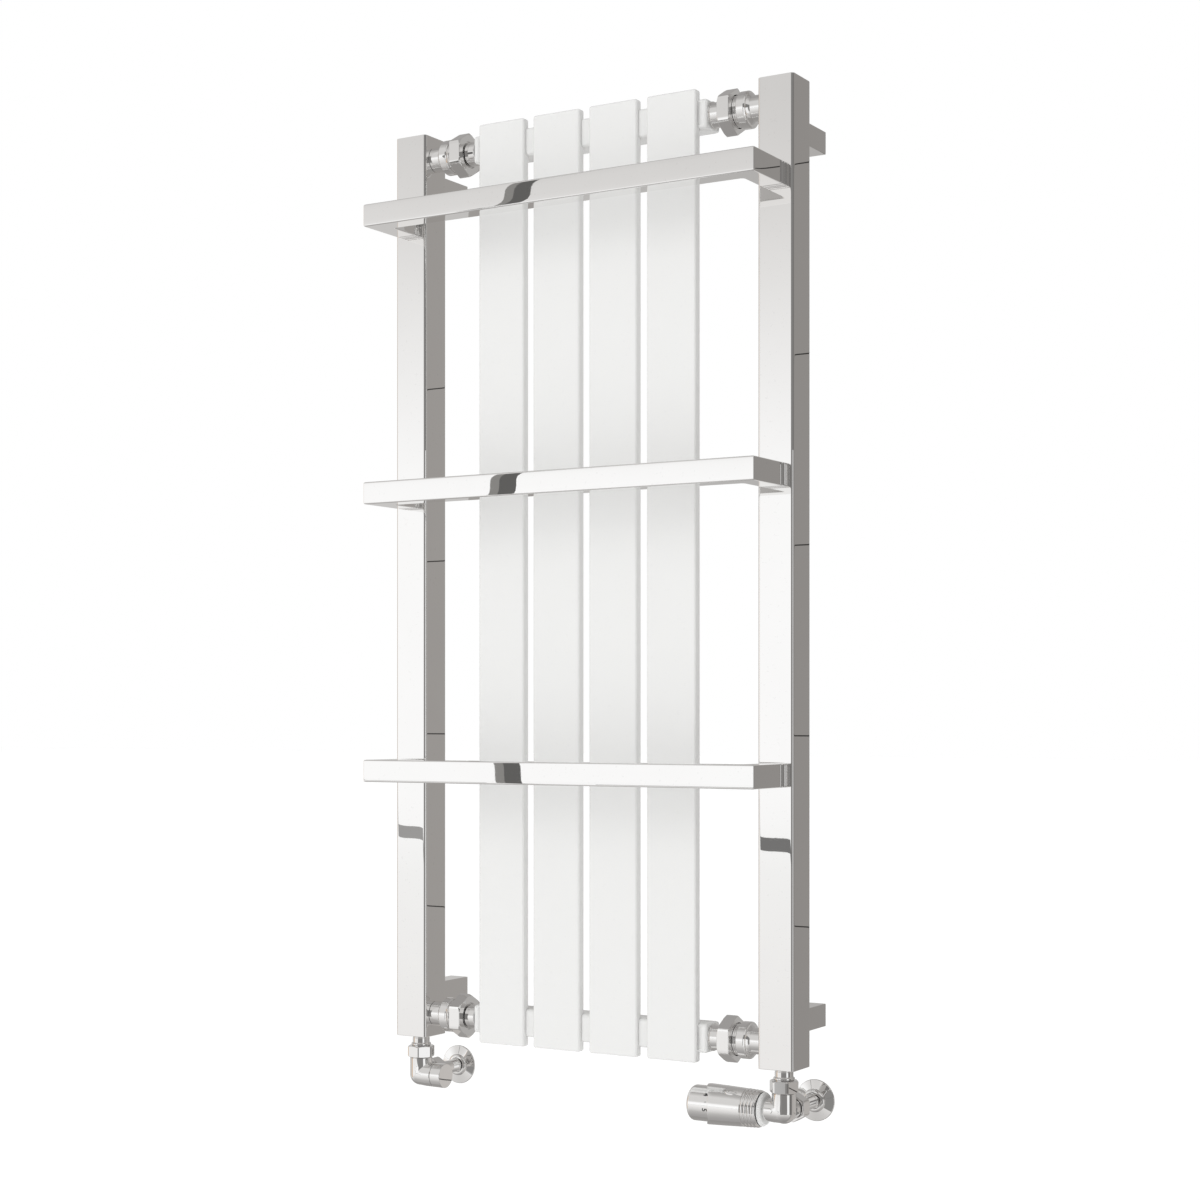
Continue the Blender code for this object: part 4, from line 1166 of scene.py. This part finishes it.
studio = {
    "floorLevel": -0.32, "floorSize": 30.0, "floorGlow": 0.28,
    "wallTone": (0.310, 0.296, 0.284), "wallJoint": (0.05, 0.048, 0.046),
    "jointFirst": 0.1353, "jointPitch": 0.2, "jointWidth": 0.0014,
    "wallSlope": 0.42, "wallFoot": 1.6, "footSpan": (-0.046, -0.018),
    "skyStrength": 1.04, "softStrength": 0.80,
    # elevation in degrees and the tone there, ahead of the panels and behind them
    "frontTones": [
        (-90.0, (0.28, 0.27, 0.265)), (-60.0, (0.36, 0.35, 0.345)), (-42.0, (0.48, 0.47, 0.46)),
        (-27.0, (0.68, 0.67, 0.66)), (-9.0, (0.86, 0.85, 0.84)), (-4.0, (0.92, 0.92, 0.915)),
        (-2.5, (1.0, 1.0, 1.0)), (6.0, (1.0, 1.0, 1.0)), (10.0, (0.86, 0.855, 0.85)),
        (13.0, (0.73, 0.72, 0.71)), (16.0, (0.65, 0.64, 0.63)), (44.0, (0.66, 0.65, 0.64)),
        (58.0, (0.42, 0.41, 0.40)), (90.0, (0.27, 0.26, 0.255)),
    ],
    "backTones": [
        (-90.0, (0.26, 0.25, 0.245)), (-20.0, (0.36, 0.35, 0.34)), (20.0, (0.38, 0.37, 0.36)),
        (60.0, (0.34, 0.33, 0.325)), (90.0, (0.27, 0.26, 0.255)),
    ],
    # degrees round the room from straight ahead, as (from, to, tone)
    "roomTones": [
        (-180.0, -112.0, (0.42, 0.41, 0.40)), (-104.0, -80.0, (0.16, 0.155, 0.15)),
        (-76.0, -56.0, (0.92, 0.92, 0.92)), (-53.0, -8.0, (0.22, 0.215, 0.21)),
        (-2.0, 10.5, (0.25, 0.245, 0.24)), (13.0, 61.0, (1.0, 1.0, 1.0)),
        (65.0, 79.0, (0.62, 0.47, 0.34)), (83.0, 142.0, (0.58, 0.57, 0.56)),
        (156.0, 180.0, (0.42, 0.41, 0.40)),
    ],
    # elevation in degrees and a fifth of the gap's shift there, which keeps it below one
    "gapShift": [(-20.0, 0.494), (-1.6, 0.494), (6.2, 0.522), (13.9, 0.44)],
    "gapEdges": (30.48, 30.93, 31.17),
    "gapTones": ((0.12, 0.118, 0.115), (0.25, 0.245, 0.235)), "windowTone": (0.20, 0.197, 0.193),
    # the line where the room meets its floor, as a slope and as (from, to, tone)
    "horizon": (-0.0708, -0.0638),
    "horizonTones": [(-6.0, 31.0, (0.18, 0.178, 0.176)), (33.9, 62.0, (0.34, 0.335, 0.33))],
    "fillPower": 26.0, "fillSize": 3.0, "fillPlace": (-0.6, -3.2, 1.6),
}


def plane(name, corners):
    bm = bmesh.new()
    bm.faces.new([bm.verts.new(corner) for corner in corners])
    mesh = bpy.data.meshes.new(name)
    bm.to_mesh(mesh)
    bm.free()
    obj = bpy.data.objects.new(name, mesh)
    bpy.context.scene.collection.objects.link(obj)
    return obj


def mathIn(tree):
    def mathNode(operation, a, b=None):
        node = addNode(tree, "ShaderNodeMath", operation=operation)
        for socket, value in zip(node.inputs, (a, b)):
            if isinstance(value, float):
                socket.default_value = value
            elif value is not None:
                tree.links.new(value, socket)
        return node.outputs[0]

    return mathNode


def makeFloor():
    s = studio["floorSize"]
    z = studio["floorLevel"]
    floor = plane("floor", [(-s, -s, z), (s, -s, z), (s, s, z), (-s, s, z)])
    material, tree = newMaterial("paleFloor")
    for label, value in (
        ("Base Color", (0.95, 0.95, 0.95, 1.0)), ("Roughness", 0.9),
        ("Emission Color", (1.0, 1.0, 1.0, 1.0)), ("Emission Strength", studio["floorGlow"]),
    ):
        tree.nodes["Principled BSDF"].inputs[label].default_value = value
    floor.data.materials.append(material)
    floor.visible_glossy = False


def makeWallCard(name, left, right):
    # the tiled wall behind the object shows only in its polished sides
    y, low, high = 0.004, -0.3, 1.3
    card = plane(name, [(left, y, low), (right, y, low), (right, y, high), (left, y, high)])
    card.visible_camera = False
    card.visible_shadow = False
    card.visible_diffuse = False
    material, tree = newMaterial("tiledWall")
    tree.nodes.remove(tree.nodes["Principled BSDF"])
    mathNode = mathIn(tree)
    glow = addNode(tree, "ShaderNodeEmission")
    place = addNode(tree, "ShaderNodeTexCoord")
    split = addNode(tree, "ShaderNodeSeparateXYZ")
    wire(tree, (place, "Object", split, "Vector"))
    shifted = mathNode("SUBTRACT", split.outputs["Z"],
                       studio["jointFirst"] - studio["jointWidth"] / 2 - studio["jointPitch"] * 4)
    within = mathNode("MODULO", shifted, studio["jointPitch"])
    joint = mathNode("LESS_THAN", within, studio["jointWidth"])
    mix = addNode(tree, "ShaderNodeMix", {
        6: (*studio["wallTone"], 1.0), 7: (*studio["wallJoint"], 1.0),
    }, data_type="RGBA")
    tree.links.new(joint, mix.inputs["Factor"])
    # the wall is lighter to the left, and lighter again near the floor
    fade = mathNode("SUBTRACT", 1.06, mathNode("MULTIPLY", split.outputs["X"],
                                               studio["wallSlope"]))
    footLow, footHigh = studio["footSpan"]
    foot = addNode(tree, "ShaderNodeMapRange", {
        "From Min": footLow, "From Max": footHigh, "To Min": studio["wallFoot"], "To Max": 1.0,
    })
    wire(
        tree, (mix, 2, glow, "Color"), (split, "Z", foot, "Value"),
        (glow, 0, tree.nodes["Material Output"], "Surface"),
    )
    tree.links.new(mathNode("MULTIPLY", fade, foot.outputs["Result"]), glow.inputs["Strength"])
    card.data.materials.append(material)


def makeWorld():
    # white to the eye; to the polished parts a soft room: bright ahead, grey above and below
    world = bpy.data.worlds.new("studio")
    bpy.context.scene.world = world
    world.use_nodes = True
    tree = world.node_tree
    tree.nodes.clear()
    links = tree.links
    mathNode = mathIn(tree)
    place = addNode(tree, "ShaderNodeTexCoord")
    split = addNode(tree, "ShaderNodeSeparateXYZ")
    wire(tree, (place, "Generated", split, "Vector"))

    def ramp(source, stops, start, span):
        node = addNode(tree, "ShaderNodeValToRGB")
        links.new(source, node.inputs["Fac"])
        elements = node.color_ramp.elements
        while len(elements) > 1:
            elements.remove(elements[-1])
        for index, (degrees, colour) in enumerate(stops):
            position = (degrees + start) / span
            element = elements[0] if index == 0 else elements.new(position)
            element.position = position
            element.color = (*colour, 1.0)
        return node.outputs["Color"]

    def mixed(factor, a, b):
        node = addNode(tree, "ShaderNodeMix", data_type="RGBA")
        links.new(factor, node.inputs["Factor"])
        for socket, value in ((node.inputs[6], a), (node.inputs[7], b)):
            if isinstance(value, tuple):
                socket.default_value = (*value, 1.0)
            else:
                links.new(value, socket)
        return node.outputs[2]

    def both(a, b):
        return mathNode("MULTIPLY", a, b)

    def between(value, low, high):
        return both(mathNode("GREATER_THAN", value, low), mathNode("LESS_THAN", value, high))

    # degrees above the horizon, and degrees round from straight ahead of the panels
    elevation = mathNode("MULTIPLY", mathNode("ARCSINE", split.outputs["Z"]), 180.0 / math.pi)
    backwards = mathNode("MULTIPLY", split.outputs["Y"], -1.0)
    leftwards = mathNode("MULTIPLY", split.outputs["X"], -1.0)
    azimuth = mathNode("MULTIPLY", mathNode("ARCTAN2", leftwards, backwards), 180.0 / math.pi)
    # both as shares from 0 to 1, which is what a colour ramp reads
    height = mathNode("DIVIDE", mathNode("ADD", elevation, 90.0), 180.0)
    turn = mathNode("DIVIDE", mathNode("ADD", azimuth, 180.0), 360.0)
    front = ramp(height, studio["frontTones"], 90.0, 180.0)
    back = ramp(height, studio["backTones"], 90.0, 180.0)
    # round the room, from behind on the right, past straight ahead, to behind on the left
    stops = []
    for start, end, tone in studio["roomTones"]:
        stops += [(start, tone), (end, tone)]
    around = ramp(turn, stops, 180.0, 360.0)
    vault = mixed(mathNode("GREATER_THAN", backwards, 0.0), back, front)
    room = mixed(between(azimuth, 12.5, 60.0), around, front)
    room = mixed(between(elevation, -24.0, 24.0), vault, room)
    upper = both(between(elevation, 7.0, 24.0), between(azimuth, -82.0, -52.0))
    room = mixed(upper, room, studio["windowTone"])
    # the gap between two soft boxes, darker on its near side
    shifts = [(degrees, (share, share, share)) for degrees, share in studio["gapShift"]]
    lean = ramp(height, shifts, 90.0, 180.0)
    gapAt = mathNode("ADD", azimuth, mathNode("MULTIPLY", lean, -5.0))
    low = between(elevation, -20.0, 24.0)
    edges = studio["gapEdges"]
    for start, end, tone in zip(edges, edges[1:], studio["gapTones"]):
        room = mixed(both(between(gapAt, start, end), low), room, tone)
    slope = mathNode("DIVIDE", split.outputs["Z"], mathNode("MAXIMUM", backwards, 0.01))
    horizon = between(slope, *studio["horizon"])
    for start, end, tone in studio["horizonTones"]:
        room = mixed(both(horizon, between(azimuth, start, end)), room, tone)

    white = (1.0, 1.0, 1.0, 1.0)
    seen = addNode(tree, "ShaderNodeBackground", {"Color": white})
    mirrored = addNode(tree, "ShaderNodeBackground", {"Strength": studio["skyStrength"]})
    links.new(room, mirrored.inputs["Color"])
    soft = addNode(tree, "ShaderNodeBackground", {
        "Color": white, "Strength": studio["softStrength"],
    })
    path = addNode(tree, "ShaderNodeLightPath")
    first = addNode(tree, "ShaderNodeMixShader")
    second = addNode(tree, "ShaderNodeMixShader")
    out = addNode(tree, "ShaderNodeOutputWorld")
    wire(
        tree, (path, "Is Glossy Ray", first, "Fac"), (soft, 0, first, 1), (mirrored, 0, first, 2),
        (path, "Is Camera Ray", second, "Fac"), (first, 0, second, 1), (seen, 0, second, 2),
        (second, 0, out, "Surface"),
    )


def makeFill():
    light = bpy.data.lights.new("soft fill", "AREA")
    light.shape = "SQUARE"
    light.size = studio["fillSize"]
    light.energy = studio["fillPower"]
    obj = bpy.data.objects.new("soft fill", light)
    obj.location = studio["fillPlace"]
    aim = Vector((0.0, -0.1, 0.5)) - Vector(studio["fillPlace"])
    obj.rotation_euler = aim.to_track_quat("-Z", "Y").to_euler()
    obj.visible_glossy = False
    obj.visible_camera = False
    bpy.context.scene.collection.objects.link(obj)


makeFloor()
makeWallCard("wall_card_left", -0.215, -0.120)
makeWallCard("wall_card_right", 0.235, 0.6)
makeWorld()
makeFill()
scene = bpy.context.scene
scene.view_settings.view_transform = "Standard"
scene.view_settings.look = "None"
scene.view_settings.exposure = 0.0
print("studio made")
